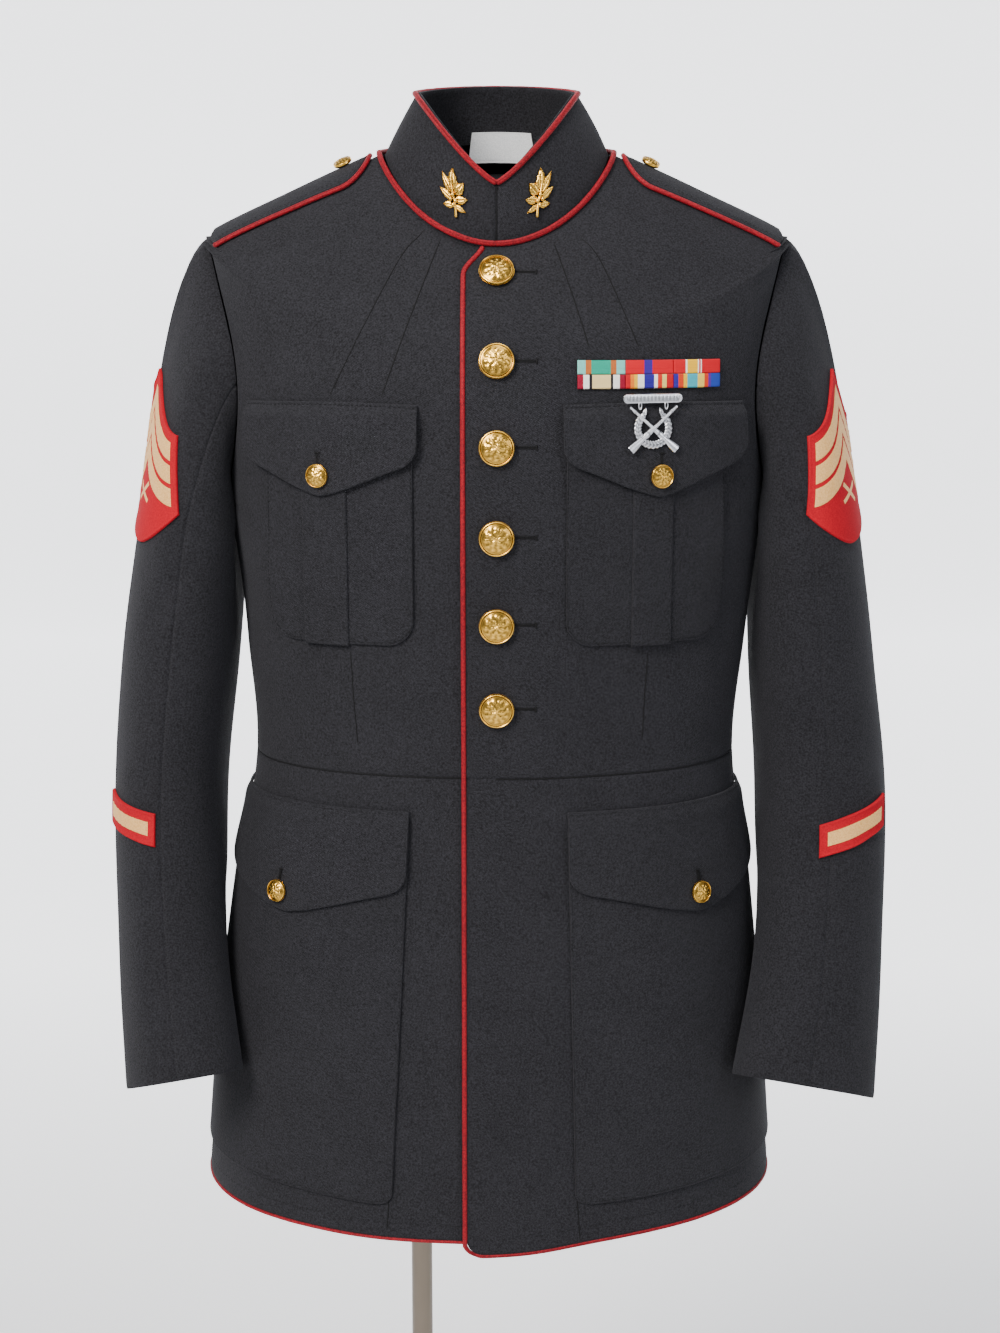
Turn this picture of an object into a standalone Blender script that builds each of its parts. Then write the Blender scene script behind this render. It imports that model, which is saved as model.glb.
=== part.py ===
"""Stand-collar dress coat, buttoned up on a limbless dress form with a pole and a round base.

Metres, +Z up. The front of the coat faces -Y and the floor under the base is Z = 0. "Left" and
"right" are the wearer's, so the left front, which laps over the right one, lies towards +X.

The body of the coat is one surface of rings, numbered from the hem to the neck. A point on it has
an angle phi round the ring (0 at the front centre, growing towards +X) and a ring number t, and
each panel, pocket, strap and badge is a piece of that surface, moved out by its lift.
"""

import math
from collections import namedtuple

import bmesh
import bpy
import numpy as np

# Cloth and seams
WALL = 0.0020
GAP = 0.0003
LAP_LIFT = 0.0026
PATCH_WALL = 0.0018
PATCH_LIFT = 0.0007
COLLAR_WALL = 0.0030

# Ring numbers of the body, from the hem up
HEM, LOW, HIP, WAIST, RIB, ARMPIT, CHEST, CAP, TIP, YOKE, NECK = range(11)

Section = namedtuple("Section", "front side back half_width depth_front depth_back square shift")
SECTIONS = [
    # heights at the front, side and back, then half width, depths, squareness and shift to +X
    Section(0.6335, 0.6480, 0.6420, 0.2255, 0.1330, 0.1290, 2.30, -0.0065),
    Section(0.7600, 0.7650, 0.7630, 0.2155, 0.1300, 0.1260, 2.30, -0.0055),
    Section(0.8900, 0.8900, 0.8900, 0.2010, 0.1230, 0.1200, 2.25, -0.0035),
    Section(0.9910, 0.9910, 0.9910, 0.1862, 0.1165, 0.1080, 2.20, -0.0015),
    Section(1.0800, 1.0800, 1.0850, 0.1925, 0.1210, 0.1110, 2.20, -0.0005),
    Section(1.1800, 1.1850, 1.1900, 0.2030, 0.1270, 0.1200, 2.25, 0.0000),
    Section(1.2560, 1.2950, 1.2950, 0.2080, 0.1245, 0.1225, 2.20, 0.0000),
    Section(1.2960, 1.3700, 1.3700, 0.2150, 0.1170, 0.1150, 2.08, 0.0000),
    Section(1.3180, 1.3830, 1.3830, 0.2160, 0.1080, 0.1110, 1.96, 0.0000),
    Section(1.3450, 1.4150, 1.4250, 0.1500, 0.0915, 0.0955, 1.98, 0.0000),
    Section(1.3760, 1.4440, 1.4550, 0.0860, 0.0680, 0.0750, 2.00, 0.0000),
]
RING_TILT_POWER = 1.6

# Armholes: how far the seam swings forward and back of the side line, and the steps along a half
ARMHOLE_FRONT = math.radians(25)
ARMHOLE_BACK = math.radians(22)
ARMHOLE_STEPS = 10
ARMHOLE_FOOT = SECTIONS[ARMPIT].side
ARMHOLE_TOP = SECTIONS[TIP].side

# Front edges. The left front laps over the centre line.
LAP_EDGE = -0.0225
LAP_EDGE_AT_NECK = -0.0080
EDGE_CORD_TOP = NECK - 0.12
LAP_TURN_RING = YOKE + 0.25
UNDER_EDGE = 0.0200
LAP_FADE = (0.0220, 0.0800)
LAP_HEM_DROP = 0.0100
HEM_CORNER = 0.0120

# Collar: a band that stands on the neck ring and leans in
COLLAR_SET_IN = 0.0024
COLLAR_FOOT = 0.0010
COLLAR_HALF_GAP = math.radians(0.35)
COLLAR_CORD_END = math.radians(2.2)
CollarTop = namedtuple("CollarTop", "front side back half_width depth")
COLLAR_TOP = CollarTop(1.4230, 1.4890, 1.4970, 0.0585, 0.0620)
COLLAR_TOP_POWER = 1.15
COLLAR_FRONT_POWER = 1.25

# Corded edges: radius of each
NECK_CORD = 0.0021
EDGE_CORD = 0.0018
HEM_CORD = 0.0013

# Sleeves, below the cap: a row for each ring from the upper arm to the cuff
SleeveRing = namedtuple("SleeveRing", "height outer inner centre_y half_depth front_up outer_up")
LEFT_SLEEVE = [
    SleeveRing(1.1500, 0.2800, 0.1900, -0.0020, 0.0730, 0.000, 0.000),
    SleeveRing(1.0600, 0.2925, 0.1960, -0.0030, 0.0690, 0.000, 0.000),
    SleeveRing(0.9580, 0.3035, 0.2030, -0.0080, 0.0630, 0.003, 0.000),
    SleeveRing(0.8450, 0.3005, 0.1985, -0.0380, 0.0540, 0.009, -0.004),
    SleeveRing(0.7400, 0.2905, 0.1800, -0.0860, 0.0430, 0.016, -0.010),
]
RIGHT_SLEEVE = [
    SleeveRing(1.1500, 0.2770, 0.1900, -0.0020, 0.0730, 0.000, 0.000),
    SleeveRing(1.0600, 0.2905, 0.2010, -0.0030, 0.0700, 0.000, 0.000),
    SleeveRing(0.9580, 0.2978, 0.2120, -0.0080, 0.0650, 0.003, 0.000),
    SleeveRing(0.8450, 0.2945, 0.2080, -0.0380, 0.0570, 0.009, -0.004),
    SleeveRing(0.7460, 0.2845, 0.1945, -0.0860, 0.0470, 0.016, -0.008),
]
SLEEVES = {+1: LEFT_SLEEVE, -1: RIGHT_SLEEVE}
SIDE_NAME = {+1: "left", -1: "right"}
SLEEVE_SQUARE = 2.3
CAP_PULL = 0.42
BODY_CLEARANCE = (0.0008, 0.0045, 0.0080)

# Patch pockets in the front view: edges by distance from the centre line, heights, corners
ChestPocket = namedtuple("ChestPocket", "inner outer flap_inner flap_outer point pleat_inner pleat_outer")
CHEST_POCKETS = {
    +1: ChestPocket(0.0500, 0.1650, 0.0470, 0.1790, 0.1155, 0.0975, 0.1265),
    -1: ChestPocket(0.0600, 0.1660, 0.0560, 0.1810, 0.1255, 0.1070, 0.1395),
}
CHEST_TOP = 1.2650
CHEST_FLAP_SIDES = (1.2230, 1.2230)
CHEST_FLAP_POINT = 1.1990
CHEST_BOTTOM = 1.0900
CHEST_CORNER = 0.0200
FLAP_CORNER = 0.0130

LOWER_INNER_TOP = {+1: 0.0520, -1: 0.0640}
LOWER_INNER_BOTTOM = {+1: 0.0600, -1: 0.0800}
LOWER_OUTER = math.radians(98)
LOWER_FLAP_TOP = 0.9650
LOWER_FLAP_SIDES = (0.9045, 0.9180)
LOWER_FLAP_POINT = 0.8815
LOWER_FLAP_POINT_SHARE = {+1: 0.383, -1: 0.355}
LOWER_BUTTON_SHARE = {+1: 0.383, -1: 0.390}
LOWER_LENGTH = 0.2300
LOWER_BOTTOM_ABOVE_HEM = 0.0360
LOWER_BOTTOM_RISE = (-0.0090, 0.0120)
LOWER_CORNER = 0.0100
BUTTON_ABOVE_POINT = 0.0150

# Shoulder straps, seen from above
STRAP_SLEEVE_END = 0.2135
STRAP_NECK_END = 0.0960
STRAP_HALF_SLEEVE = 0.0270
STRAP_HALF_NECK = 0.0240
STRAP_ROUND = 0.0200
STRAP_WALL = 0.0024
STRAP_LIFT = 0.0010
STRAP_BUTTON_IN = 0.0170

# Buttons: radius and height, then the heights of the six on the front
BIG_BUTTON = (0.0128, 0.0062)
SMALL_BUTTON = (0.0085, 0.0048)
STRAP_BUTTON = (0.0072, 0.0042)
FRONT_BUTTON_HEIGHTS = (1.3560, 1.2950, 1.2350, 1.1710, 1.1070, 1.0440)

# Badges and stripes
RIBBONS = ((0.0570, 0.1600), (1.2760, 1.2960))
RIBBON_WALL = 0.0022
BADGE_CENTRE = (0.1090, 1.2480)
BADGE_BAR_HEIGHT = 1.2692
BADGE_RING = (0.0086, 0.0148)
BADGE_BAR = (0.0450, 0.0066)
BADGE_LINK = (0.0100, 0.0016)
BADGE_LINK_OUT = 0.0100
RIFLE = (0.0470, 0.0046)
RIFLE_ANGLE = math.radians(41)
# Chevron patches: turn of the middle line at the foot and at the tip, half width, heights
CHEVRON_TURNS = {+1: (math.radians(50), math.radians(12)), -1: (math.radians(42), math.radians(5))}
CHEVRON_HALF = 0.0430
CHEVRON_HEIGHTS = (1.1580, 1.1810, 1.2380, 1.2850)
CHEVRON_TOP_POWER = 1.6
# Service stripes: turn, height of the middle, fall for each metre towards the front
STRIPES = {+1: (math.radians(65), 0.9410, 0.34), -1: (math.radians(52), 0.9460, 0.20)}
STRIPE_HALF_LENGTH = 0.0280
STRIPE_HALF_HEIGHT = 0.0125
BADGE_WALL = 0.0016
ORNAMENT_PSI = 0.44
ORNAMENT_HEIGHT = 0.47
ORNAMENT_HALF = (0.0078, 0.0128)
ORNAMENT_LAYERS = ((0.55, 0.0040), (0.90, 0.0026), (1.00, 0.0004))
ORNAMENT_TOP = 0.0046
COLLAR_SPAN = (0.0680, 0.0570)

# Neck label: reach to either side of the back centre, share of the collar's height, thickness
LABEL_REACH = (-0.0175, 0.0245)
LABEL_HEIGHT = (-0.33, 0.22)
LABEL_WALL = 0.0010

# Dress form and stand
FORM_BOTTOM = 0.7800
FORM_EASE = (0.0105, 0.0027)
FORM_TOP_RING = NECK - 0.62
POLE_X = -0.0618
POLE_RADIUS = 0.0085
BASE_RADIUS = 0.1500
BASE_HEIGHT = 0.0080


def clear_scene():
    for thing in list(bpy.data.objects):
        bpy.data.objects.remove(thing, do_unlink=True)


def make_material(name, colour, roughness, metallic=0.0):
    """A Principled material. colour is linear red, green and blue."""
    material = bpy.data.materials.new(name)
    material.use_nodes = True
    shader = material.node_tree.nodes["Principled BSDF"]
    shader.inputs["Base Color"].default_value = (*colour, 1.0)
    shader.inputs["Roughness"].default_value = roughness
    shader.inputs["Metallic"].default_value = metallic
    material.diffuse_color = (*colour, 1.0)
    return material


FINISHES = {
    "wool": ((0.022, 0.023, 0.029), 0.85, 0.0),
    "cord": ((0.480, 0.022, 0.036), 0.70, 0.0),
    "gilt": ((0.720, 0.440, 0.130), 0.28, 1.0),
    "silver": ((0.700, 0.700, 0.720), 0.35, 1.0),
    "ribbon": ((0.450, 0.080, 0.080), 0.75, 0.0),
    "felt": ((0.560, 0.016, 0.024), 0.90, 0.0),
    "label": ((0.780, 0.780, 0.780), 0.80, 0.0),
    "jersey": ((0.030, 0.030, 0.032), 0.90, 0.0),
    "steel": ((0.520, 0.490, 0.460), 0.30, 1.0),
}


def add_mesh(name, finish, points, faces, smooth=True):
    """One closed mesh object with its own material and its faces turned outwards."""
    mesh = bpy.data.meshes.new(name)
    mesh.from_pydata([tuple(p) for p in points], [], faces)
    work = bmesh.new()
    work.from_mesh(mesh)
    bmesh.ops.recalc_face_normals(work, faces=work.faces)
    work.to_mesh(mesh)
    work.free()
    if smooth:
        mesh.shade_smooth()
        mesh.set_sharp_from_angle(angle=math.radians(40))
    mesh.materials.append(make_material(name, *FINISHES[finish]))
    thing = bpy.data.objects.new(name, mesh)
    bpy.context.scene.collection.objects.link(thing)
    return thing


def slab(name, finish, outer, inner):
    """A closed wall between two grids of points, both rows by columns by XYZ."""
    rows, columns = outer.shape[:2]
    points = np.concatenate([outer.reshape(-1, 3), inner.reshape(-1, 3)])
    half = rows * columns

    def at(r, c):
        return r * columns + c

    faces = []
    for r in range(rows - 1):
        for c in range(columns - 1):
            quad = [at(r, c), at(r, c + 1), at(r + 1, c + 1), at(r + 1, c)]
            faces.append(quad)
            faces.append([half + i for i in reversed(quad)])
    rim = [at(0, c) for c in range(columns)]
    rim += [at(r, columns - 1) for r in range(1, rows)]
    rim += [at(rows - 1, c) for c in range(columns - 2, -1, -1)]
    rim += [at(r, 0) for r in range(rows - 2, 0, -1)]
    for a, b in zip(rim, rim[1:] + rim[:1]):
        faces.append([b, a, half + a, half + b])
    return add_mesh(name, finish, points, faces)


def cord(name, finish, path, radius, cyclic=False):
    """A round cord along a path, as a bevelled curve with its ends filled."""
    curve = bpy.data.curves.new(name, "CURVE")
    curve.dimensions = "3D"
    curve.bevel_depth = radius
    curve.bevel_resolution = 1
    curve.use_fill_caps = True
    spline = curve.splines.new("POLY")
    spline.points.add(len(path) - 1)
    for point, place in zip(spline.points, path):
        point.co = (*place, 1.0)
    spline.use_cyclic_u = cyclic
    curve.materials.append(make_material(name, *FINISHES[finish]))
    thing = bpy.data.objects.new(name, curve)
    bpy.context.scene.collection.objects.link(thing)
    return thing


def turned(name, finish, profile, place, axis, segments):
    """A turned piece: profile is (radius, height) from the top of its axis to the bottom."""
    axis = np.array(axis, float)
    axis /= np.linalg.norm(axis)
    aside = np.cross(axis, (0.0, 0.0, 1.0) if abs(axis[2]) < 0.9 else (1.0, 0.0, 0.0))
    aside /= np.linalg.norm(aside)
    across = np.cross(axis, aside)
    points = [place + axis * profile[0][1]]
    faces = []
    for radius, height in profile[1:-1]:
        for k in range(segments):
            angle = 2 * math.pi * k / segments
            turn = aside * math.cos(angle) + across * math.sin(angle)
            points.append(place + turn * radius + axis * height)
    points.append(place + axis * profile[-1][1])
    rings = len(profile) - 2
    last = len(points) - 1
    for k in range(segments):
        after = (k + 1) % segments
        faces.append([0, 1 + k, 1 + after])
        faces.append([last, 1 + (rings - 1) * segments + after, 1 + (rings - 1) * segments + k])
        for r in range(rings - 1):
            low = 1 + r * segments
            faces.append([low + k, low + segments + k, low + segments + after, low + after])
    return add_mesh(name, finish, points, faces)


def smoothstep(x):
    x = np.clip(x, 0.0, 1.0)
    return x * x * (3 - 2 * x)


def spread(count, start=0.0, stop=1.0):
    """Evenly spaced numbers, both ends included."""
    return np.linspace(start, stop, count)


def crowd_ends(count):
    """Numbers from 0 to 1 that lie closer together near both ends."""
    return (1 - np.cos(np.pi * spread(count))) / 2


def read_rows(rows, t):
    """The rows of a table, read smoothly at row number t, also a little past its ends."""
    table = np.array(rows, float)
    table = np.vstack([2 * table[0] - table[1], table, 2 * table[-1] - table[-2]])
    t = np.asarray(t, float)
    i = np.clip(np.floor(t).astype(int), 0, len(rows) - 2)
    u = (t - i)[..., None]
    a, b, c, d = table[i], table[i + 1], table[i + 2], table[i + 3]
    low_slope, high_slope = (c - a) / 2, (d - b) / 2
    value = (2 * u**3 - 3 * u**2 + 1) * b + (u**3 - 2 * u**2 + u) * low_slope
    value = value + (3 * u**2 - 2 * u**3) * c + (u**3 - u**2) * high_slope
    return np.moveaxis(value, -1, 0)


def round_out(phi, square):
    """The factor that turns an ellipse into a slightly squarer ring."""
    s, c = np.abs(np.sin(phi)), np.abs(np.cos(phi))
    return (s**square + c**square) ** (-1 / square)


def body_base(phi, t):
    """Points of the coat's outer surface."""
    row = Section(*read_rows(SECTIONS, t))
    k = round_out(phi, row.square)
    ahead = np.cos(phi) >= 0
    depth = np.where(ahead, row.depth_front, row.depth_back)
    end = np.where(ahead, row.front, row.back)
    x = row.shift + row.half_width * np.sin(phi) * k
    y = -depth * np.cos(phi) * k
    z = row.side + (end - row.side) * np.abs(np.cos(phi)) ** RING_TILT_POWER
    return np.stack([x, y, z], axis=-1)


def normals(surface, a, b, step_a=2e-3, step_b=2e-3):
    """Unit vectors square to surface(a, b), from its slopes."""
    along = surface(a + step_a, b) - surface(a - step_a, b)
    up = surface(a, b + step_b) - surface(a, b - step_b)
    n = np.cross(along, up)
    return n / np.linalg.norm(n, axis=-1, keepdims=True)


def body(phi, t, lift=0.0):
    """Points of the coat's surface, moved out by lift."""
    phi, t = np.broadcast_arrays(np.asarray(phi, float), np.asarray(t, float))
    lift = np.broadcast_to(np.asarray(lift, float), phi.shape)
    return body_base(phi, t) + normals(body_base, phi, t) * lift[..., None]


def angle_of(x, t):
    """The ring angle at which the front of ring t has this x."""
    row = Section(*read_rows(SECTIONS, t))
    share = np.clip((x - row.shift) / row.half_width, -0.999, 0.999)
    rest = (1 - np.abs(share) ** row.square) ** (1 / row.square)
    return np.arctan2(share, rest)


def ring_of(phi, z):
    """The ring number at which the surface at angle phi has this height."""
    phi, z = np.broadcast_arrays(np.asarray(phi, float), np.asarray(z, float))
    low, high = np.full(phi.shape, HEM - 0.3), np.full(phi.shape, float(NECK))
    for _ in range(34):
        middle = (low + high) / 2
        below = body_base(phi, middle)[..., 2] < z
        low, high = np.where(below, middle, low), np.where(below, high, middle)
    return (low + high) / 2


def front_at(x, z, lift=0.0):
    """The point of the coat's front that the front view shows at x and z."""
    x, z = np.broadcast_arrays(np.asarray(x, float), np.asarray(z, float))
    phi = angle_of(x, np.full(x.shape, float(RIB)))
    for _ in range(6):
        phi = angle_of(x, ring_of(phi, z))
    return body(phi, ring_of(phi, z), lift)


def shoulder_angle(x, y):
    """Ring angle and ring number of the shoulder point that lies at x and y, seen from above."""
    x, y = np.broadcast_arrays(np.asarray(x, float), np.asarray(y, float))
    low, high = np.full(x.shape, float(TIP)), np.full(x.shape, float(NECK))
    for _ in range(34):
        middle = (low + high) / 2
        row = Section(*read_rows(SECTIONS, middle))
        depth = np.where(y < 0, row.depth_front, row.depth_back)
        inside = np.abs(x / row.half_width) ** row.square + np.abs(y / depth) ** row.square < 1
        low, high = np.where(inside, middle, low), np.where(inside, high, middle)
    row = Section(*read_rows(SECTIONS, low))
    depth = np.where(y < 0, row.depth_front, row.depth_back)
    return np.arctan2(x / row.half_width, -y / depth), low


def lap_lift(x):
    """How far the left front stands out where it laps over the right one."""
    return LAP_LIFT * (1 - smoothstep((x - LAP_FADE[0]) / (LAP_FADE[1] - LAP_FADE[0])))


def armhole_angle(t, reach):
    """How far from the front centre a front panel runs at ring t, or a back panel from the back."""
    height = Section(*read_rows(SECTIONS, t)).side
    q = np.clip((height - ARMHOLE_FOOT) / (ARMHOLE_TOP - ARMHOLE_FOOT), 0.0, 1.0)
    q = np.where(np.asarray(t) >= TIP, 1.0, q)
    return math.pi / 2 - reach * np.sqrt(np.sin(np.pi * q))


def seam_step(t):
    """Half of the seam gap, as a ring angle at the side of ring t."""
    row = Section(*read_rows(SECTIONS, t))
    return GAP / (row.depth_front + row.depth_back)


def upper_rings():
    """Ring numbers of the rows from the waist seam to the neck, closer at the armhole's ends."""
    waist = WAIST + GAP / 2 / (SECTIONS[RIB].side - SECTIONS[WAIST].side)
    below = spread(6, waist, ARMPIT)[:-1]
    heights = ARMHOLE_FOOT + (ARMHOLE_TOP - ARMHOLE_FOOT) * crowd_ends(ARMHOLE_STEPS + 1)
    beside = ring_of(math.pi / 2, heights[:-1])
    above = [TIP, TIP + 0.5]
    return np.concatenate([below, beside, above, spread(5, YOKE, EDGE_CORD_TOP), [NECK]])


def lap_edge(t):
    """x of the left front's free edge, which turns in below the collar."""
    turn = smoothstep((t - LAP_TURN_RING) / (NECK - LAP_TURN_RING))
    return LAP_EDGE + (LAP_EDGE_AT_NECK - LAP_EDGE) * turn


def hem_ring(x, is_lap):
    """Ring number of the hem: the left front dips towards its rounded corner."""
    x = np.asarray(x, float)
    pitch = SECTIONS[LOW].front - SECTIONS[HEM].front
    if not is_lap:
        return np.zeros(x.shape)
    drop = LAP_HEM_DROP * (1 - smoothstep((x - LAP_EDGE) / 0.16))
    inside = np.clip((LAP_EDGE + HEM_CORNER - x) / HEM_CORNER, 0.0, 1.0)
    rise = HEM_CORNER * (1 - np.sqrt(1 - 0.98 * inside**2))
    return HEM + (rise - drop) / pitch


def front_panels():
    """The two fronts above the waist seam. The left one laps over the right one."""
    rings = upper_rings()[:, None]
    share = (spread(11) ** 1.15)[None, :]
    for side in (+1, -1):
        edge = lap_edge(rings) if side > 0 else UNDER_EDGE * np.ones_like(rings)
        start = side * angle_of(edge, rings)
        stop = armhole_angle(rings, ARMHOLE_FRONT) - seam_step(rings)
        phi = side * (start + (stop - start) * share)
        lift = lap_lift(body_base(phi, rings + 0 * phi)[..., 0]) if side > 0 else 0.0
        outer, inner = body(phi, rings, lift), body(phi, rings, lift - WALL)
        slab(f"front_{SIDE_NAME[side]}", "wool", outer, inner)


def skirt_panels():
    """The two fronts below the waist seam."""
    waist = WAIST - GAP / 2 / (SECTIONS[WAIST].side - SECTIONS[HIP].side)
    share = (spread(13) ** 1.2)[None, :]
    for side in (+1, -1):
        edge = LAP_EDGE if side > 0 else UNDER_EDGE
        bottom = np.zeros((1, share.shape[1]))
        for _ in range(4):
            start = side * angle_of(edge, bottom)
            phi = side * (start + (math.pi / 2 - start) * share)
            bottom = hem_ring(body_base(phi, bottom)[..., 0], side > 0)
        rings = bottom + (waist - bottom) * spread(9)[:, None]
        start = side * angle_of(edge, rings)
        phi = side * (start + (math.pi / 2 - seam_step(rings) - start) * share)
        lift = lap_lift(body_base(phi, rings)[..., 0]) if side > 0 else 0.0
        outer, inner = body(phi, rings, lift), body(phi, rings, lift - WALL)
        slab(f"skirt_{SIDE_NAME[side]}", "wool", outer, inner)


def back_panels():
    """The two backs above the waist seam and the two below it, with a seam down the middle."""
    waist = WAIST - GAP / 2 / (SECTIONS[WAIST].back - SECTIONS[HIP].back)
    share = spread(9)[None, :]
    for piece, rings in (("back", upper_rings()), ("back_skirt", spread(8, HEM, waist))):
        rings = rings[:, None]
        row = Section(*read_rows(SECTIONS, rings))
        start = math.pi - GAP / 2 / row.half_width
        stop = math.pi - armhole_angle(rings, ARMHOLE_BACK) + seam_step(rings)
        for side in (+1, -1):
            phi = side * (start + (stop - start) * share)
            outer, inner = body(phi, rings, 0.0), body(phi, rings, -WALL)
            slab(f"{piece}_{SIDE_NAME[side]}", "wool", outer, inner)


def armhole_point(theta, side):
    """A point of the armhole seam: theta is 0 on top, 90 degrees in front and 180 below."""
    theta = np.mod(theta, 2 * math.pi)
    in_front = theta <= math.pi
    q = 1 - np.where(in_front, theta, 2 * math.pi - theta) / math.pi
    t = ring_of(math.pi / 2, np.minimum(ARMHOLE_FOOT + (ARMHOLE_TOP - ARMHOLE_FOOT) * q, ARMHOLE_TOP))
    front = armhole_angle(t, ARMHOLE_FRONT)
    back = math.pi - armhole_angle(t, ARMHOLE_BACK)
    return body_base(side * np.where(in_front, front, back), t)


def body_reach(y, z, side):
    """How far out the side of the body stands at this y and z, measured on that side."""
    phi = np.full(np.shape(z), math.pi / 2)
    for _ in range(4):
        ring = ring_of(phi, z)
        row = Section(*read_rows(SECTIONS, ring))
        depth = np.where(y < 0, row.depth_front, row.depth_back)
        share = np.clip(-y / depth, -0.98, 0.98)
        phi = np.arctan2((1 - np.abs(share) ** row.square) ** (1 / row.square), share)
    return side * row.shift + row.half_width * np.sin(phi) * round_out(phi, row.square)


def sleeve_ring(theta, v, side):
    """Points of the sleeve below its cap, at row number v of its table."""
    row = SleeveRing(*read_rows(SLEEVES[side], v))
    k = round_out(theta, SLEEVE_SQUARE)
    across, ahead = np.cos(theta) * k, np.sin(theta) * k
    middle, half = (row.outer + row.inner) / 2, (row.outer - row.inner) / 2
    x = middle + half * across
    y = row.centre_y - row.half_depth * ahead
    z = row.height + row.front_up * ahead + row.outer_up * across
    return np.stack([side * x, y, z], axis=-1)


def sleeve_base(theta, v, side):
    """Points of the sleeve's outer surface: v is 0 at the armhole, 1 below the cap, 5 at the cuff."""
    theta, v = np.broadcast_arrays(np.asarray(theta, float), np.asarray(v, float))
    below = sleeve_ring(theta, np.maximum(v, 1.0) - 1.0, side)
    start, end = armhole_point(theta, side), sleeve_ring(theta, np.zeros_like(v), side)
    reach = np.linalg.norm(end - start, axis=-1, keepdims=True)
    c, s = np.cos(theta), np.sin(theta)
    leave = np.stack([side * (0.85 + 0.15 * c), -0.35 * s, -(0.72 - 0.28 * c)], axis=-1)
    leave = leave / np.linalg.norm(leave, axis=-1, keepdims=True) * reach * CAP_PULL
    arrive = sleeve_ring(theta, np.full_like(v, 0.05), side) - end
    arrive = arrive / np.linalg.norm(arrive, axis=-1, keepdims=True) * reach
    start = start + leave / np.linalg.norm(leave, axis=-1, keepdims=True) * GAP * 1.6
    u = np.clip(v, 0.0, 1.0)[..., None]
    cap = (2 * u**3 - 3 * u**2 + 1) * start + (u**3 - 2 * u**2 + u) * leave
    cap = cap + (3 * u**2 - 2 * u**3) * end + (u**3 - u**2) * arrive
    points = np.where((v < 1.0)[..., None], cap, below)
    near, middle, far = BODY_CLEARANCE
    z = points[..., 2]
    below = smoothstep((SECTIONS[ARMPIT].side - z) / 0.035)
    clearance = near * smoothstep(v / 0.2) + (middle - near) * below
    clearance = clearance + (far - middle) * smoothstep((SECTIONS[WAIST].side - z) / 0.08)
    limit = body_reach(points[..., 1], z, side) + clearance
    outward = side * points[..., 0]
    soft = 0.004 * below
    points[..., 0] = side * (outward + limit + np.sqrt((outward - limit) ** 2 + soft**2)) / 2
    return points


def sleeve(theta, v, side, lift=0.0):
    """Points of the sleeve's surface, moved out by lift."""
    theta, v = np.broadcast_arrays(np.asarray(theta, float), np.asarray(v, float))
    lift = np.broadcast_to(np.asarray(lift, float), theta.shape)
    n = normals(lambda a, b: sleeve_base(a, b, side), theta, v + 4e-3) * side
    return sleeve_base(theta, v, side) + n * lift[..., None]


def sleeve_at(turn, z, side, lift=0.0):
    """The sleeve point at this turn and height."""
    turn, z = np.broadcast_arrays(np.asarray(turn, float), np.asarray(z, float))
    low, high = np.full(turn.shape, 0.05), np.full(turn.shape, 5.0)
    for _ in range(30):
        middle = (low + high) / 2
        above = sleeve_base(turn, middle, side)[..., 2] > z
        low, high = np.where(above, middle, low), np.where(above, high, middle)
    return sleeve(turn, (low + high) / 2, side, lift)


def sleeve_panels():
    """Each sleeve is cut in two: a top sleeve and an under sleeve."""
    rows = np.concatenate([crowd_ends(6)[:-1], spread(9, 1.0, 5.0)])[:, None]
    half = math.pi * crowd_ends(ARMHOLE_STEPS + 1)[: ARMHOLE_STEPS // 2 + 1]
    half_gap = GAP / 2 / 0.042
    quarter = np.append(half[:-1], half[-1] - half_gap)
    top = np.concatenate([-quarter[:0:-1], quarter])
    for side in (+1, -1):
        for piece, theta in (("top_sleeve", top), ("under_sleeve", math.pi + top)):
            outer = sleeve(theta[None, :], rows, side)
            inner = sleeve(theta[None, :], rows, side, -WALL)
            slab(f"{piece}_{SIDE_NAME[side]}", "wool", outer, inner)


def collar_base(psi, h):
    """Points of the collar's outer surface: h is 0 at its foot and 1 at its top edge."""
    neck = SECTIONS[NECK]
    psi, h = np.broadcast_arrays(np.asarray(psi, float), np.asarray(h, float))
    ahead = np.cos(psi) >= 0
    share = np.abs(np.cos(psi))
    foot_depth = np.where(ahead, neck.depth_front, neck.depth_back) - COLLAR_SET_IN
    foot_end = np.where(ahead, neck.front, neck.back)
    foot = np.stack([
        (neck.half_width - COLLAR_SET_IN) * np.sin(psi),
        -foot_depth * np.cos(psi),
        neck.side + (foot_end - neck.side) * share**RING_TILT_POWER - COLLAR_FOOT,
    ], axis=-1)
    top_end = np.where(ahead, COLLAR_TOP.front, COLLAR_TOP.back)
    fall_ahead = 1 - np.abs(np.sin(psi)) ** COLLAR_FRONT_POWER
    fall = np.where(ahead, fall_ahead, share**COLLAR_TOP_POWER)
    top = np.stack([
        COLLAR_TOP.half_width * np.sin(psi),
        -COLLAR_TOP.depth * np.cos(psi),
        COLLAR_TOP.side + (top_end - COLLAR_TOP.side) * fall,
    ], axis=-1)
    belly = np.stack([np.sin(psi), -np.cos(psi), 0 * psi], axis=-1) * 0.0012
    h = h[..., None]
    return foot + (top - foot) * h + belly * 4 * h * (1 - h)


def collar(psi, h, lift=0.0):
    """Points of the collar, moved out by lift."""
    psi, h = np.broadcast_arrays(np.asarray(psi, float), np.asarray(h, float))
    lift = np.broadcast_to(np.asarray(lift, float), psi.shape)
    return collar_base(psi, h) + normals(collar_base, psi, h) * lift[..., None]


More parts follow.
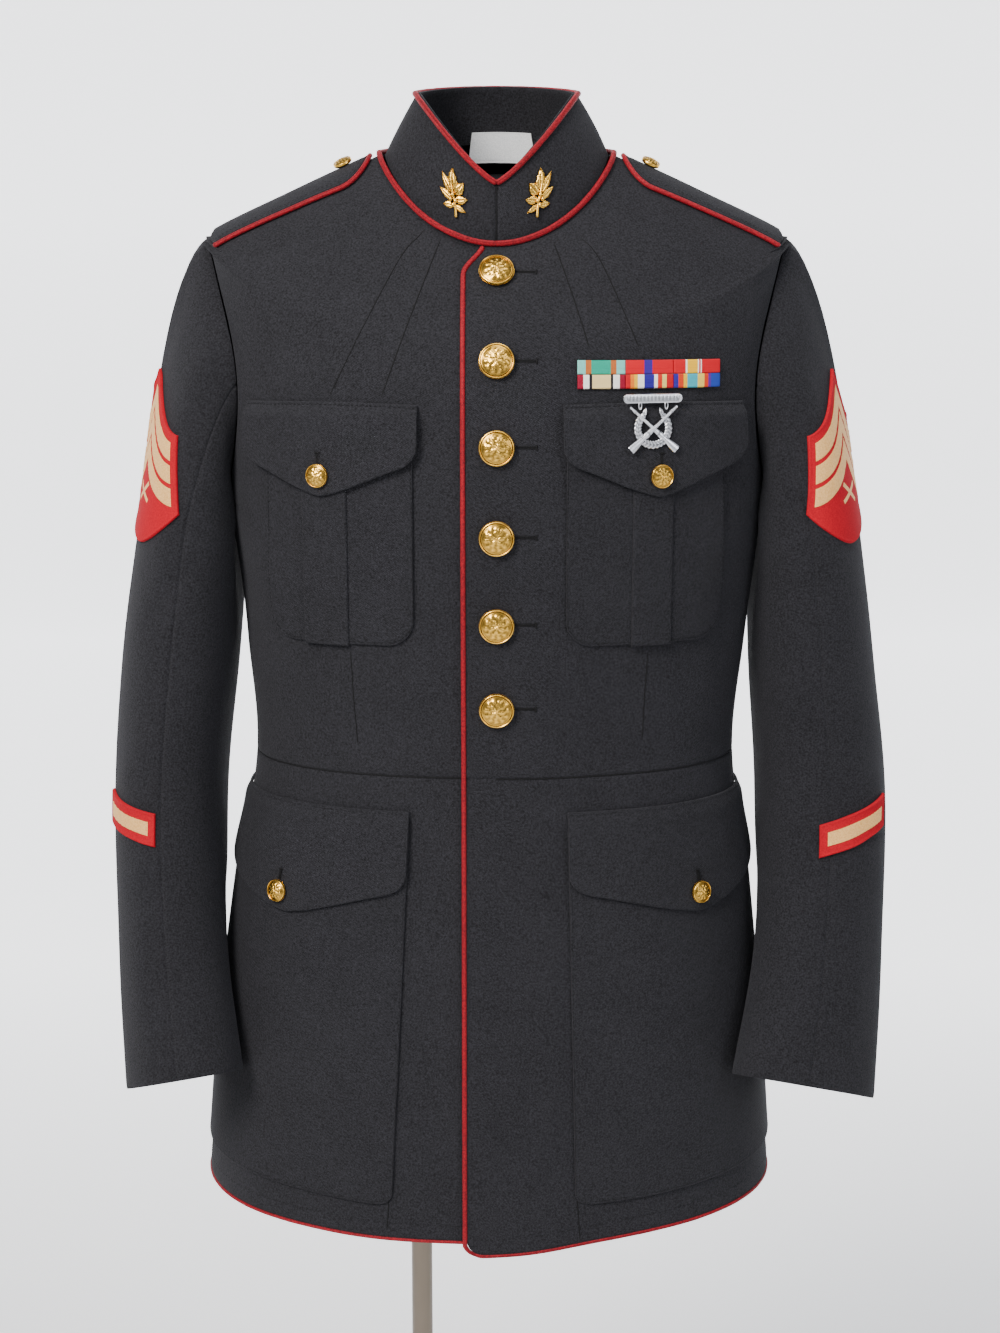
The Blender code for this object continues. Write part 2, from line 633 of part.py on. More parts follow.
def collar_pieces():
    """The standing collar, hooked edge to edge at the front, and the cords along its two edges."""
    psi = spread(29, COLLAR_HALF_GAP, 2 * math.pi - COLLAR_HALF_GAP)[None, :]
    rows = spread(4)[:, None]
    slab("collar", "wool", collar(psi, rows), collar(psi, rows, -COLLAR_WALL))
    around = spread(29, COLLAR_HALF_GAP, 2 * math.pi - COLLAR_HALF_GAP)[1:-1]
    around = np.concatenate([[COLLAR_CORD_END], around, [2 * math.pi - COLLAR_CORD_END]])
    top = collar(around, np.full(around.shape, 0.975), NECK_CORD + 2 * GAP)
    cord("collar_top_cord", "cord", top, NECK_CORD)
    phi = spread(29, 0.0, 2 * math.pi)[:-1]
    seam = body_base(phi, np.full(28, float(NECK)))
    right_fade = 1 - smoothstep((-seam[:, 0] - 0.026) / 0.034)
    in_front = np.cos(phi) > 0
    lift = np.where(seam[:, 0] > 0, lap_lift(seam[:, 0]), LAP_LIFT * right_fade) * in_front
    path = body(phi, np.full(28, NECK - 0.02), lift + NECK_CORD + GAP)
    cord("neck_seam_cord", "cord", path, NECK_CORD, cyclic=True)


def edge_cords():
    """The cord down the left front's edge, and the cords along the hems."""
    rings = np.concatenate([spread(15, HEM - 0.02, YOKE), spread(5, YOKE, EDGE_CORD_TOP)[1:]])
    phi = angle_of(lap_edge(rings), rings)
    path = body(phi, rings, EDGE_CORD + 3 * GAP)
    aside = np.cross(np.gradient(path, axis=0), normals(body_base, phi, rings))
    aside *= -np.sign(aside[:, :1]) / np.linalg.norm(aside, axis=1, keepdims=True)
    cord("front_edge_cord", "cord", path + aside * (EDGE_CORD + 2 * GAP), EDGE_CORD)
    pitch = SECTIONS[LOW].front - SECTIONS[HEM].front
    step = (HEM_CORD + GAP) / pitch * 1.4
    for side in (+1, -1):
        first = angle_of(LAP_EDGE + 0.006, 0.0) if side > 0 else -angle_of(UNDER_EDGE, 0.0) + 0.02
        angles = side * spread(27, first, math.pi - 0.004)
        x = body_base(angles, np.zeros(27))[:, 0]
        in_front = np.cos(angles) > 0
        ring = np.where(in_front, hem_ring(x, side > 0), 0.0) - step
        lift = (lap_lift(x) * in_front if side > 0 else 0.0) - WALL / 2 - 0.0002
        cord(f"hem_cord_{SIDE_NAME[side]}", "cord", body(angles, ring, lift), HEM_CORD)


def rounded_foot(u, width, corner):
    """How far the bottom edge of a pocket rises at u, from a rounded corner at each end."""
    aside = np.minimum(u, 1 - u) * width
    inside = np.clip((corner - aside) / corner, 0.0, 1.0)
    return corner * (1 - np.sqrt(np.maximum(1 - inside**2, 0.0)))


def pointed_foot(u, at, sides, point_height, width, corner):
    """Heights of a flap's bottom edge: down to a point at u = at, with rounded corners.

    sides holds the edge's heights at u = 0 and at u = 1, before the corners are rounded.
    """
    slope = np.where(u < at, u / at, (1 - u) / (1 - at))
    side_height = np.where(u < at, sides[0], sides[1])
    edge = side_height + (point_height - side_height) * (0.45 * smoothstep(slope) + 0.55 * slope)
    return edge + rounded_foot(u, width, corner)


def over_lap(x, lift):
    """Lift over whichever front lies under a patch at x."""
    return lift + np.where(x > 0, lap_lift(x), 0.0)


def chest_patch(name, inner, outer, top, bottom, side, lift, wall, columns, rows):
    """A patch on the chest between two distances from the centre line. top and bottom take u."""
    u = crowd_ends(columns)[None, :]
    x = side * (inner + (outer - inner) * u)
    z = top(u) + (bottom(u) - top(u)) * spread(rows)[:, None]
    x = x + 0 * z
    slab(name, "wool", front_at(x, z, over_lap(x, lift + wall)), front_at(x, z, over_lap(x, lift)))


def chest_pockets():
    """Patch pockets with a raised middle pleat and a pointed flap."""
    for side, cut in CHEST_POCKETS.items():
        name = SIDE_NAME[side]
        width = cut.outer - cut.inner
        flap_width = cut.flap_outer - cut.flap_inner
        at = (cut.point - cut.flap_inner) / flap_width
        chest_patch(
            f"chest_pocket_{name}", cut.inner, cut.outer, lambda u: CHEST_TOP - 0.008 + 0 * u,
            lambda u: CHEST_BOTTOM + rounded_foot(u, width, CHEST_CORNER),
            side, PATCH_LIFT, PATCH_WALL, 12, 6,
        )
        above = PATCH_LIFT + PATCH_WALL + GAP
        chest_patch(
            f"chest_pleat_{name}", cut.pleat_inner, cut.pleat_outer,
            lambda u: CHEST_FLAP_POINT + 0.020 + 0 * u,
            lambda u: CHEST_BOTTOM + 0.0005 + 0 * u, side, above, WALL, 3, 6,
        )
        chest_patch(
            f"chest_flap_{name}", cut.flap_inner, cut.flap_outer,
            lambda u: CHEST_TOP + 0.0015 * np.sin(np.pi * u),
            lambda u: pointed_foot(u, at, CHEST_FLAP_SIDES, CHEST_FLAP_POINT, flap_width, FLAP_CORNER),
            side, above + WALL + GAP, PATCH_WALL, 14, 4,
        )


def lower_edge(z, side):
    """Distance of a lower pocket's front edge from the centre line at a height."""
    share = (LOWER_FLAP_TOP - z) / (LOWER_FLAP_TOP - SECTIONS[HEM].side)
    return LOWER_INNER_TOP[side] + (LOWER_INNER_BOTTOM[side] - LOWER_INNER_TOP[side]) * share


def lower_place(u, z, side):
    """Ring angle and ring number at a share u of a lower pocket's width and a height."""
    phi = side * LOWER_OUTER * np.ones_like(u)
    for _ in range(4):
        start = side * angle_of(side * lower_edge(z, side), ring_of(phi, z))
        phi = side * (start + (LOWER_OUTER - start) * u)
    return phi, ring_of(phi, z)


def lower_patch(name, top, bottom, side, lift, wall, columns, rows):
    """A patch on the skirt, from its front edge round past the side seam."""
    u = (0.35 * crowd_ends(columns) + 0.65 * spread(columns))[None, :]
    z = top(u) + (bottom(u) - top(u)) * spread(rows)[:, None]
    phi, ring = lower_place(u + 0 * z, z, side)
    x = body_base(phi, ring)[..., 0]
    slab(name, "wool", body(phi, ring, over_lap(x, lift + wall)), body(phi, ring, over_lap(x, lift)))


def lower_pockets():
    """Large patch pockets on the skirt, each with a pointed flap."""
    first, last = LOWER_BOTTOM_RISE
    for side in (+1, -1):
        name, at = SIDE_NAME[side], LOWER_FLAP_POINT_SHARE[side]
        lower_patch(
            f"lower_pocket_{name}", lambda u: LOWER_FLAP_TOP - 0.012 + 0 * u,
            lambda u: SECTIONS[HEM].front + LOWER_BOTTOM_ABOVE_HEM + first * (1 - u) + last * u
            + rounded_foot(u, LOWER_LENGTH, LOWER_CORNER),
            side, PATCH_LIFT, PATCH_WALL, 17, 6,
        )
        lower_patch(
            f"lower_flap_{name}", lambda u: LOWER_FLAP_TOP + 0 * u,
            lambda u: pointed_foot(u, at, LOWER_FLAP_SIDES, LOWER_FLAP_POINT, LOWER_LENGTH, FLAP_CORNER),
            side, 2 * PATCH_LIFT + PATCH_WALL, PATCH_WALL, 17, 4,
        )


def strap_points(u, w, side, lift):
    """Points on a shoulder strap: u runs from the sleeve to the neck, w from edge to edge."""
    x = STRAP_SLEEVE_END - (STRAP_SLEEVE_END - STRAP_NECK_END) * u
    near = np.clip((STRAP_NECK_END + STRAP_ROUND - x) / STRAP_ROUND, 0.0, 1.0)
    half = strap_half(x) * np.sqrt(np.maximum(1 - near**2, 0.01))
    phi, t = shoulder_angle(x, half * w)
    return body(side * phi, t, lift)


def strap_half(x):
    """Half of the strap's width before its end is rounded."""
    share = (x - STRAP_NECK_END) / (STRAP_SLEEVE_END - STRAP_NECK_END)
    return STRAP_HALF_NECK + (STRAP_HALF_SLEEVE - STRAP_HALF_NECK) * np.maximum(share, 0.0)


def strap_rim(grow):
    """Top-view places along the left strap's edge, moved out by grow."""
    straight = spread(7, STRAP_SLEEVE_END, STRAP_NECK_END + STRAP_ROUND)[:-1]
    turns = spread(9, -math.pi / 2, math.pi / 2)
    round_x = STRAP_NECK_END + STRAP_ROUND - (STRAP_ROUND + grow) * np.cos(turns)
    round_y = (strap_half(STRAP_NECK_END + STRAP_ROUND) + grow) * np.sin(turns)
    front_y = -(strap_half(straight) + grow)
    x = np.concatenate([straight, round_x, straight[::-1]])
    return x, np.concatenate([front_y, round_y, -front_y[::-1]])


def shoulder_straps():
    """A strap on each shoulder with a cord round its edge and a small button at the neck end."""
    u = (1 - (1 - spread(11)) ** 1.5)[:, None] * np.ones((1, 8))
    w = spread(8, -1.0, 1.0)[None, :] * np.ones((11, 1))
    for side in (+1, -1):
        name = SIDE_NAME[side]
        outer = strap_points(u, w, side, STRAP_LIFT + STRAP_WALL)
        slab(f"shoulder_strap_{name}", "wool", outer, strap_points(u, w, side, STRAP_LIFT))
        phi, t = shoulder_angle(*strap_rim(EDGE_CORD + 2 * GAP))
        cord(f"strap_cord_{name}", "cord", body(side * phi, t, EDGE_CORD + STRAP_LIFT), EDGE_CORD)
        phi, t = shoulder_angle(STRAP_NECK_END + STRAP_BUTTON_IN, 0.0)
        place = body(side * phi, t, STRAP_LIFT + STRAP_WALL + GAP)
        button(f"strap_button_{name}", STRAP_BUTTON, place, normals(body_base, side * phi, t))


def button(name, size, place, axis):
    """A domed gilt button with a raised rim."""
    radius, height = size
    profile = [
        (0.0, height), (radius * 0.45, height * 0.93), (radius * 0.82, height * 0.62),
        (radius * 0.88, height * 0.66), (radius, height * 0.40), (radius * 0.86, 0.0), (0.0, 0.0),
    ]
    turned(name, "gilt", profile, place, axis, 10)


def front_normal(x, z):
    step = 0.002
    along = front_at(x + step, z) - front_at(x - step, z)
    up = front_at(x, z + step) - front_at(x, z - step)
    n = np.cross(along, up)
    return n / np.linalg.norm(n)


def front_buttons():
    """Six large buttons down the front, four small ones on the pockets."""
    for number, z in enumerate(FRONT_BUTTON_HEIGHTS, 1):
        button(f"front_button_{number}", BIG_BUTTON, front_at(0.0, z, LAP_LIFT + GAP), front_normal(0.0, z))
    flap_top = PATCH_LIFT + 3 * GAP + 2 * PATCH_WALL + WALL
    for side, cut in CHEST_POCKETS.items():
        x, z = side * cut.point, CHEST_FLAP_POINT + BUTTON_ABOVE_POINT
        place = front_at(x, z, over_lap(x, flap_top))
        button(f"chest_button_{SIDE_NAME[side]}", SMALL_BUTTON, place, front_normal(x, z))
    for side in (+1, -1):
        phi, ring = lower_place(LOWER_BUTTON_SHARE[side], LOWER_FLAP_POINT + BUTTON_ABOVE_POINT, side)
        lift = over_lap(body_base(phi, ring)[0], 2 * PATCH_LIFT + 2 * PATCH_WALL + GAP)
        button(
            f"lower_button_{SIDE_NAME[side]}", SMALL_BUTTON, body(phi, ring, lift),
            normals(body_base, phi, ring),
        )


def collar_ornaments():
    """A gilt leaf ornament on each side of the collar."""
    around, rings = 16, len(ORNAMENT_LAYERS)
    half_across, half_up = ORNAMENT_HALF
    span_around, span_up = COLLAR_SPAN
    for side in (+1, -1):
        points, faces = [], []
        for share, rise in ORNAMENT_LAYERS:
            for k in range(around):
                angle = 2 * math.pi * k / around
                lobes = share * (1 + 0.10 * math.cos(4 * angle))
                psi = side * (ORNAMENT_PSI + half_across * lobes * math.cos(angle) / span_around)
                h = ORNAMENT_HEIGHT + half_up * lobes * math.sin(angle) / span_up
                points.append(collar(psi, h, rise + GAP))
        points.append(collar(side * ORNAMENT_PSI, ORNAMENT_HEIGHT, ORNAMENT_TOP + GAP))
        points.append(collar(side * ORNAMENT_PSI, ORNAMENT_HEIGHT, ORNAMENT_LAYERS[-1][1] + GAP))
        crown, sole = rings * around, rings * around + 1
        for k in range(around):
            after = (k + 1) % around
            faces.append([crown, k, after])
            faces.append([sole, 2 * around + after, 2 * around + k])
            for layer in range(rings - 1):
                low = layer * around
                faces.append([low + k, low + around + k, low + around + after, low + after])
        add_mesh(f"collar_ornament_{SIDE_NAME[side]}", "gilt", points, faces)


def ribbon_bar():
    """Two rows of ribbons on one thin plate, above the left chest pocket."""
    (left, right), (bottom, top) = RIBBONS
    x = spread(8, left, right)[None, :] + np.zeros((3, 1))
    z = spread(3, top, bottom)[:, None] + np.zeros((1, 8))
    outer = front_at(x, z, over_lap(x, RIBBON_WALL + 2 * GAP))
    slab("ribbon_bar", "ribbon", outer, front_at(x, z, over_lap(x, 2 * GAP)))


def plate(outline, centre, lift, wall):
    """Points and faces of a flat plate that hangs in front of the chest at centre."""
    x0, z0 = centre
    middle = front_at(x0, z0)
    n = front_normal(x0, z0)
    along = np.cross((0.0, 0.0, 1.0), n)
    along *= np.sign(along[0]) / np.linalg.norm(along)
    up = np.cross(n, along)
    up *= np.sign(up[2])
    count = len(outline)
    points = [middle + along * a + up * b + n * (lift + wall) for a, b in outline]
    points += [middle + along * a + up * b + n * lift for a, b in outline]
    faces = [list(range(count)), [count + k for k in reversed(range(count))]]
    faces += [[(k + 1) % count, k, count + k, count + (k + 1) % count] for k in range(count)]
    return points, faces


def turned_box(length, width, angle, offset=(0.0, 0.0)):
    """Corners of a bar of this length and width, turned and moved."""
    c, s = math.cos(angle), math.sin(angle)
    corners = [(-1, -1), (1, -1), (1, 1), (-1, 1)]
    flat = [(a * length / 2, b * width / 2) for a, b in corners]
    return [(c * a - s * b + offset[0], s * a + c * b + offset[1]) for a, b in flat]


def qualification_badge():
    """A silver badge: a bar, two links, and a ring with crossed rifles."""
    lift = over_lap(BADGE_CENTRE[0], PATCH_LIFT + 4 * GAP + 2 * PATCH_WALL + WALL)
    inner, outer = BADGE_RING
    ring = []
    for radius in (outer, inner):
        ring.append([(radius * math.cos(a), radius * math.sin(a)) for a in 2 * math.pi * spread(17)[:-1]])
    points, _ = plate(ring[0] + ring[1], BADGE_CENTRE, lift, BADGE_WALL)
    count = len(ring[0])
    faces = []
    for k in range(count):
        after = (k + 1) % count
        faces.append([k, after, count + after, count + k])
        faces.append([2 * count + after, 2 * count + k, 3 * count + k, 3 * count + after])
        faces.append([after, k, 2 * count + k, 2 * count + after])
        faces.append([count + k, count + after, 3 * count + after, 3 * count + k])
    body_piece = add_mesh("qualification_badge", "silver", points, faces, smooth=False)
    bar_up = BADGE_BAR_HEIGHT - BADGE_CENTRE[1]
    link_up = bar_up - BADGE_BAR[1] / 2 - BADGE_LINK[0] * 0.4
    parts = [
        turned_box(*BADGE_BAR, 0.0, (0.0, bar_up)),
        turned_box(*BADGE_LINK, math.pi / 2, (-BADGE_LINK_OUT, link_up)),
        turned_box(*BADGE_LINK, math.pi / 2, (BADGE_LINK_OUT, link_up)),
        turned_box(*RIFLE, RIFLE_ANGLE),
        turned_box(*RIFLE, math.pi - RIFLE_ANGLE),
    ]
    for number, outline in enumerate(parts):
        thin = 0.0002 * (number % 3)
        points, faces = plate(outline, BADGE_CENTRE, lift - thin, BADGE_WALL + 0.0003 + 2 * thin)
        cutter = add_mesh(f"badge_part_{number}", "silver", points, faces, smooth=False)
        cutter.hide_render = True
        cutter.display_type = "WIRE"
        union = body_piece.modifiers.new(f"Part {number}", "BOOLEAN")
        union.operation = "UNION"
        union.object = cutter


def side_turn(reach, side, about):
    """The turn round the sleeve at this reach along its cloth from the turn about."""
    row = SLEEVES[side][0]
    half = (row.outer - row.inner) / 2
    turns = spread(481, -math.pi, math.pi)
    travelled = np.cumsum(np.hypot(half * np.sin(turns), row.half_depth * np.cos(turns)))
    travelled *= turns[1] - turns[0]
    return np.interp(np.interp(about, turns, travelled) + reach, travelled, turns)


def chevron_patches():
    """A felt shield on each upper sleeve, pointed above and rounded below."""
    foot, low, shoulder, tip = CHEVRON_HEIGHTS
    share = spread(13, -1.0, 1.0)[None, :]
    top = shoulder + (tip - shoulder) * (1 - np.abs(share)) ** CHEVRON_TOP_POWER
    bottom = foot + (low - foot) * np.abs(share) ** 1.6
    z = top + (bottom - top) * spread(6)[:, None]
    for side in (+1, -1):
        at_foot, at_tip = CHEVRON_TURNS[side]
        about = at_foot + (at_tip - at_foot) * (z - foot) / (tip - foot)
        turn = side_turn(share * CHEVRON_HALF, side, about)
        outer = sleeve_at(turn, z, side, PATCH_LIFT + BADGE_WALL)
        slab(f"chevron_patch_{SIDE_NAME[side]}", "felt", outer, sleeve_at(turn, z, side, PATCH_LIFT))


def service_stripes():
    """A slanted stripe on each forearm."""
    reach = STRIPE_HALF_LENGTH * spread(10, -1.0, 1.0)[None, :]
    for side, (about, height, fall) in STRIPES.items():
        z = height - fall * reach + STRIPE_HALF_HEIGHT * spread(3, 1.0, -1.0)[:, None]
        turn = side_turn(reach, side, about) + 0 * z
        outer = sleeve_at(turn, z, side, PATCH_LIFT + BADGE_WALL)
        slab(f"service_stripe_{SIDE_NAME[side]}", "felt", outer, sleeve_at(turn, z, side, PATCH_LIFT))


def neck_label():
    """A bare woven label inside the back of the collar."""
    psi = math.pi - spread(6, *LABEL_REACH)[None, :] / COLLAR_SPAN[0]
    h = spread(3, *LABEL_HEIGHT)[:, None]
    psi, h = psi + 0 * h, h + 0 * psi
    lift = -COLLAR_WALL - PATCH_LIFT
    slab("neck_label", "label", collar(psi, h, lift), collar(psi, h, lift - LABEL_WALL))


def dress_form():
    """A smooth limbless torso under the coat. It carries the coat at the shoulders."""
    below = spread(8, float(ring_of(0.0, FORM_BOTTOM)), ARMPIT)
    above = [CHEST, CAP, TIP, TIP + 0.5, YOKE, FORM_TOP_RING]
    rings = np.concatenate([below, above])
    around = 20
    phi = 2 * math.pi * spread(around + 1)[:-1]
    deep, close = FORM_EASE
    points, faces = [], []
    for ring in rings:
        at_shoulder = smoothstep((ring - CHEST - 0.5) / 1.4) * np.abs(np.sin(phi)) ** 8
        row = body(phi, np.full(around, ring), (deep - close) * at_shoulder - deep)
        if ring == rings[0]:
            row[:, 2] = FORM_BOTTOM
        points.extend(row)
    count = len(rings)
    bottom = np.mean(points[:around], axis=0)
    top = np.mean(points[-around:], axis=0)
    points += [bottom, top]
    for k in range(around):
        after = (k + 1) % around
        faces.append([len(points) - 2, after, k])
        faces.append([len(points) - 1, (count - 1) * around + k, (count - 1) * around + after])
        for r in range(count - 1):
            low = r * around
            faces.append([low + k, low + after, low + around + after, low + around + k])
    add_mesh("dress_form", "jersey", points, faces)


def stand():
    """The pole and its round base."""
    middle = np.array((POLE_X, 0.0, 0.0))
    pole = [(0.0, FORM_BOTTOM - GAP), (POLE_RADIUS, FORM_BOTTOM - GAP), (POLE_RADIUS, BASE_HEIGHT + GAP)]
    turned("stand_pole", "steel", pole + [(0.0, BASE_HEIGHT + GAP)], middle, (0, 0, 1), 16)
    base = [
        (0.0, BASE_HEIGHT), (BASE_RADIUS - 0.004, BASE_HEIGHT), (BASE_RADIUS - 0.001, BASE_HEIGHT - 0.002),
        (BASE_RADIUS, BASE_HEIGHT - 0.004), (BASE_RADIUS, 0.0), (0.0, 0.0),
    ]
    turned("stand_base", "steel", base, middle, (0, 0, 1), 32)


def main():
    clear_scene()
    front_panels()
    skirt_panels()
    back_panels()
    sleeve_panels()
    collar_pieces()
    edge_cords()
    chest_pockets()
    lower_pockets()
    shoulder_straps()
    front_buttons()
    collar_ornaments()
    ribbon_bar()
    qualification_badge()
    chevron_patches()
    service_stripes()
    neck_label()
    dress_form()
    stand()


main()
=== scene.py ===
"""Looks for a stand-collar dress coat with red cords, buttoned up on a limbless dress form.

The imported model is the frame. Every cloth piece is rebuilt here as a fine shell on the same
surfaces as the solids, with its creases, rolled edges and stitches. Metres, +Z up, the front
faces -Y, and "left" and "right" are the wearer's, so the left side lies towards +X.
"""

from __future__ import annotations

import logging
import math
from dataclasses import dataclass, field
from enum import Enum
from typing import Callable, NamedTuple, Sequence

import bpy
import numpy as np
from mathutils import Euler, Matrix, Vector

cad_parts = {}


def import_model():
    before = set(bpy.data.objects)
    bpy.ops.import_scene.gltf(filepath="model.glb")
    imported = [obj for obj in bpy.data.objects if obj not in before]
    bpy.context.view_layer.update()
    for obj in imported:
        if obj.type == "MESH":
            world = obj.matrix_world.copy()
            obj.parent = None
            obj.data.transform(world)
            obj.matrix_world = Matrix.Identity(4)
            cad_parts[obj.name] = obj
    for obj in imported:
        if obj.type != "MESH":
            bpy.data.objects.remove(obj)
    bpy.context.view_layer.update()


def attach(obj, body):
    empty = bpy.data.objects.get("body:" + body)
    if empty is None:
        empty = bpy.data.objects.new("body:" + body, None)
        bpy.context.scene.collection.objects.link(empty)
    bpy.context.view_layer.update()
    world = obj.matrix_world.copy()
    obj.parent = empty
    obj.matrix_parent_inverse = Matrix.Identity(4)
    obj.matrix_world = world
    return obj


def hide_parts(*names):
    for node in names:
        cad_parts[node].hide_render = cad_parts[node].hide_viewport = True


LOG = logging.getLogger("dress_coat")
Array = np.ndarray

# Ring numbers of the body, from the hem up
HEM, LOW, HIP, WAIST, RIB, ARMPIT, CHEST, CAP, TIP, YOKE, NECK = range(11)
WALL = 0.0020
GAP = 0.0003


class Side(Enum):
    """The wearer's side. The value is the sign of X there."""

    LEFT = 1
    RIGHT = -1

    @property
    def label(self) -> str:
        """The side's name in lower case."""
        return self.name.lower()


class Lie(Enum):
    """How a stitch lies against the line that it is sewn along."""

    ALONG = "along"
    ACROSS = "across"


class Section(NamedTuple):
    """One ring of the coat's body: three heights, half width, depths, squareness, shift to +X."""

    front: float
    side: float
    back: float
    half_width: float
    depth_front: float
    depth_back: float
    square: float
    shift: float


SECTIONS = (
    Section(0.6335, 0.6480, 0.6420, 0.2255, 0.1330, 0.1290, 2.30, -0.0065),
    Section(0.7600, 0.7650, 0.7630, 0.2155, 0.1300, 0.1260, 2.30, -0.0055),
    Section(0.8900, 0.8900, 0.8900, 0.2010, 0.1230, 0.1200, 2.25, -0.0035),
    Section(0.9910, 0.9910, 0.9910, 0.1862, 0.1165, 0.1080, 2.20, -0.0015),
    Section(1.0800, 1.0800, 1.0850, 0.1925, 0.1210, 0.1110, 2.20, -0.0005),
    Section(1.1800, 1.1850, 1.1900, 0.2030, 0.1270, 0.1200, 2.25, 0.0000),
    Section(1.2560, 1.2950, 1.2950, 0.2080, 0.1245, 0.1225, 2.20, 0.0000),
    Section(1.2960, 1.3700, 1.3700, 0.2150, 0.1170, 0.1150, 2.08, 0.0000),
    Section(1.3180, 1.3830, 1.3830, 0.2160, 0.1080, 0.1110, 1.96, 0.0000),
    Section(1.3450, 1.4150, 1.4250, 0.1500, 0.0915, 0.0955, 1.98, 0.0000),
    Section(1.3760, 1.4440, 1.4550, 0.0860, 0.0680, 0.0750, 2.00, 0.0000),
)
RING_TILT_POWER = 1.6


class SleeveRing(NamedTuple):
    """One ring of a sleeve below its cap."""

    height: float
    outer: float
    inner: float
    centre_y: float
    half_depth: float
    front_up: float
    outer_up: float


SLEEVES = {
    Side.LEFT: (
        SleeveRing(1.1500, 0.2800, 0.1900, -0.0020, 0.0730, 0.000, 0.000),
        SleeveRing(1.0600, 0.2925, 0.1960, -0.0030, 0.0690, 0.000, 0.000),
        SleeveRing(0.9580, 0.3035, 0.2030, -0.0080, 0.0630, 0.003, 0.000),
        SleeveRing(0.8450, 0.3005, 0.1985, -0.0380, 0.0540, 0.009, -0.004),
        SleeveRing(0.7400, 0.2905, 0.1800, -0.0860, 0.0430, 0.016, -0.010),
    ),
    Side.RIGHT: (
        SleeveRing(1.1500, 0.2770, 0.1900, -0.0020, 0.0730, 0.000, 0.000),
        SleeveRing(1.0600, 0.2905, 0.2010, -0.0030, 0.0700, 0.000, 0.000),
        SleeveRing(0.9580, 0.2978, 0.2120, -0.0080, 0.0650, 0.003, 0.000),
        SleeveRing(0.8450, 0.2945, 0.2080, -0.0380, 0.0570, 0.009, -0.004),
        SleeveRing(0.7460, 0.2845, 0.1945, -0.0860, 0.0470, 0.016, -0.008),
    ),
}
SLEEVE_SQUARE = 2.3
CAP_PULL = 0.42
BODY_CLEARANCE = (0.0008, 0.0045, 0.0080)

ARMHOLE_FRONT = math.radians(25)
ARMHOLE_BACK = math.radians(22)
ARMHOLE_FOOT = SECTIONS[ARMPIT].side
ARMHOLE_TOP = SECTIONS[TIP].side

LAP_LIFT = 0.0026
LAP_EDGE = -0.0225
LAP_EDGE_AT_NECK = -0.0080
LAP_TURN_RING = YOKE + 0.25
UNDER_EDGE = 0.0200
LAP_FADE = (0.0220, 0.0800)
LAP_HEM_DROP = 0.0100
HEM_CORNER = 0.0120
EDGE_CORD = 0.0018

COLLAR_WALL = 0.0030
COLLAR_SET_IN = 0.0024
COLLAR_FOOT = 0.0010
COLLAR_TOP_POWER = 1.15
COLLAR_FRONT_POWER = 1.25


class CollarTop(NamedTuple):
    """The collar's top edge."""

    front: float
    side: float
    back: float
    half_width: float
    depth: float


COLLAR_TOP = CollarTop(1.4230, 1.4890, 1.4970, 0.0585, 0.0620)

PATCH_WALL = 0.0018
PATCH_LIFT = 0.0007


class ChestPocket(NamedTuple):
    """A chest pocket's edges, as distances from the centre line."""

    inner: float
    outer: float
    flap_inner: float
    flap_outer: float
    point: float
    pleat_inner: float
    pleat_outer: float


CHEST_POCKETS = {
    Side.LEFT: ChestPocket(0.0500, 0.1650, 0.0470, 0.1790, 0.1155, 0.0975, 0.1265),
    Side.RIGHT: ChestPocket(0.0600, 0.1660, 0.0560, 0.1810, 0.1255, 0.1070, 0.1395),
}
CHEST_FLAP_POINT = 1.1990
FLAP_CORNER = 0.0130
LOWER_INNER_TOP = {Side.LEFT: 0.0520, Side.RIGHT: 0.0640}
LOWER_INNER_BOTTOM = {Side.LEFT: 0.0600, Side.RIGHT: 0.0800}
LOWER_OUTER = math.radians(98)
LOWER_FLAP_TOP = 0.9650
LOWER_FLAP_POINT = 0.8815
LOWER_FLAP_POINT_SHARE = {Side.LEFT: 0.383, Side.RIGHT: 0.355}
LOWER_BUTTON_SHARE = {Side.LEFT: 0.383, Side.RIGHT: 0.390}

STRAP_NECK_END = 0.0960
STRAP_WALL = 0.0024
STRAP_LIFT = 0.0010
STRAP_BUTTON_LEAN = np.array((0.0, -0.35, 0.0))


# Turn of the chevrons' middle line at the foot and at the tip
CHEVRON_TURNS = {
    Side.LEFT: (math.radians(50), math.radians(12)),
    Side.RIGHT: (math.radians(42), math.radians(5)),
}
CHEVRON_HALF = 0.0430
CHEVRON_HEIGHTS = (1.1580, 1.1810, 1.2380, 1.2850)
CHEVRON_TOP_POWER = 1.6
# Service stripes: turn, height of the middle, fall for each metre towards the front
STRIPES = {Side.LEFT: (math.radians(65), 0.9410, 0.34), Side.RIGHT: (math.radians(52), 0.9460, 0.20)}

# Half length and half height of a service stripe's gold bar
STRIPE_BAR = (0.0225, 0.0052)
# Chevrons: first one below the top edge, pitch at the sides and more at the tip, gold's share, border
CHEVRON_FIRST, CHEVRON_PITCH, CHEVRON_MORE, CHEVRON_SHARE = 0.0066, 0.0160, 0.0035, 0.80
CHEVRON_FIRST_MORE = 0.0050
CHEVRON_BORDER = 0.0052
PATCH_RIFLES = (1.1950, 0.0125, 0.0016)
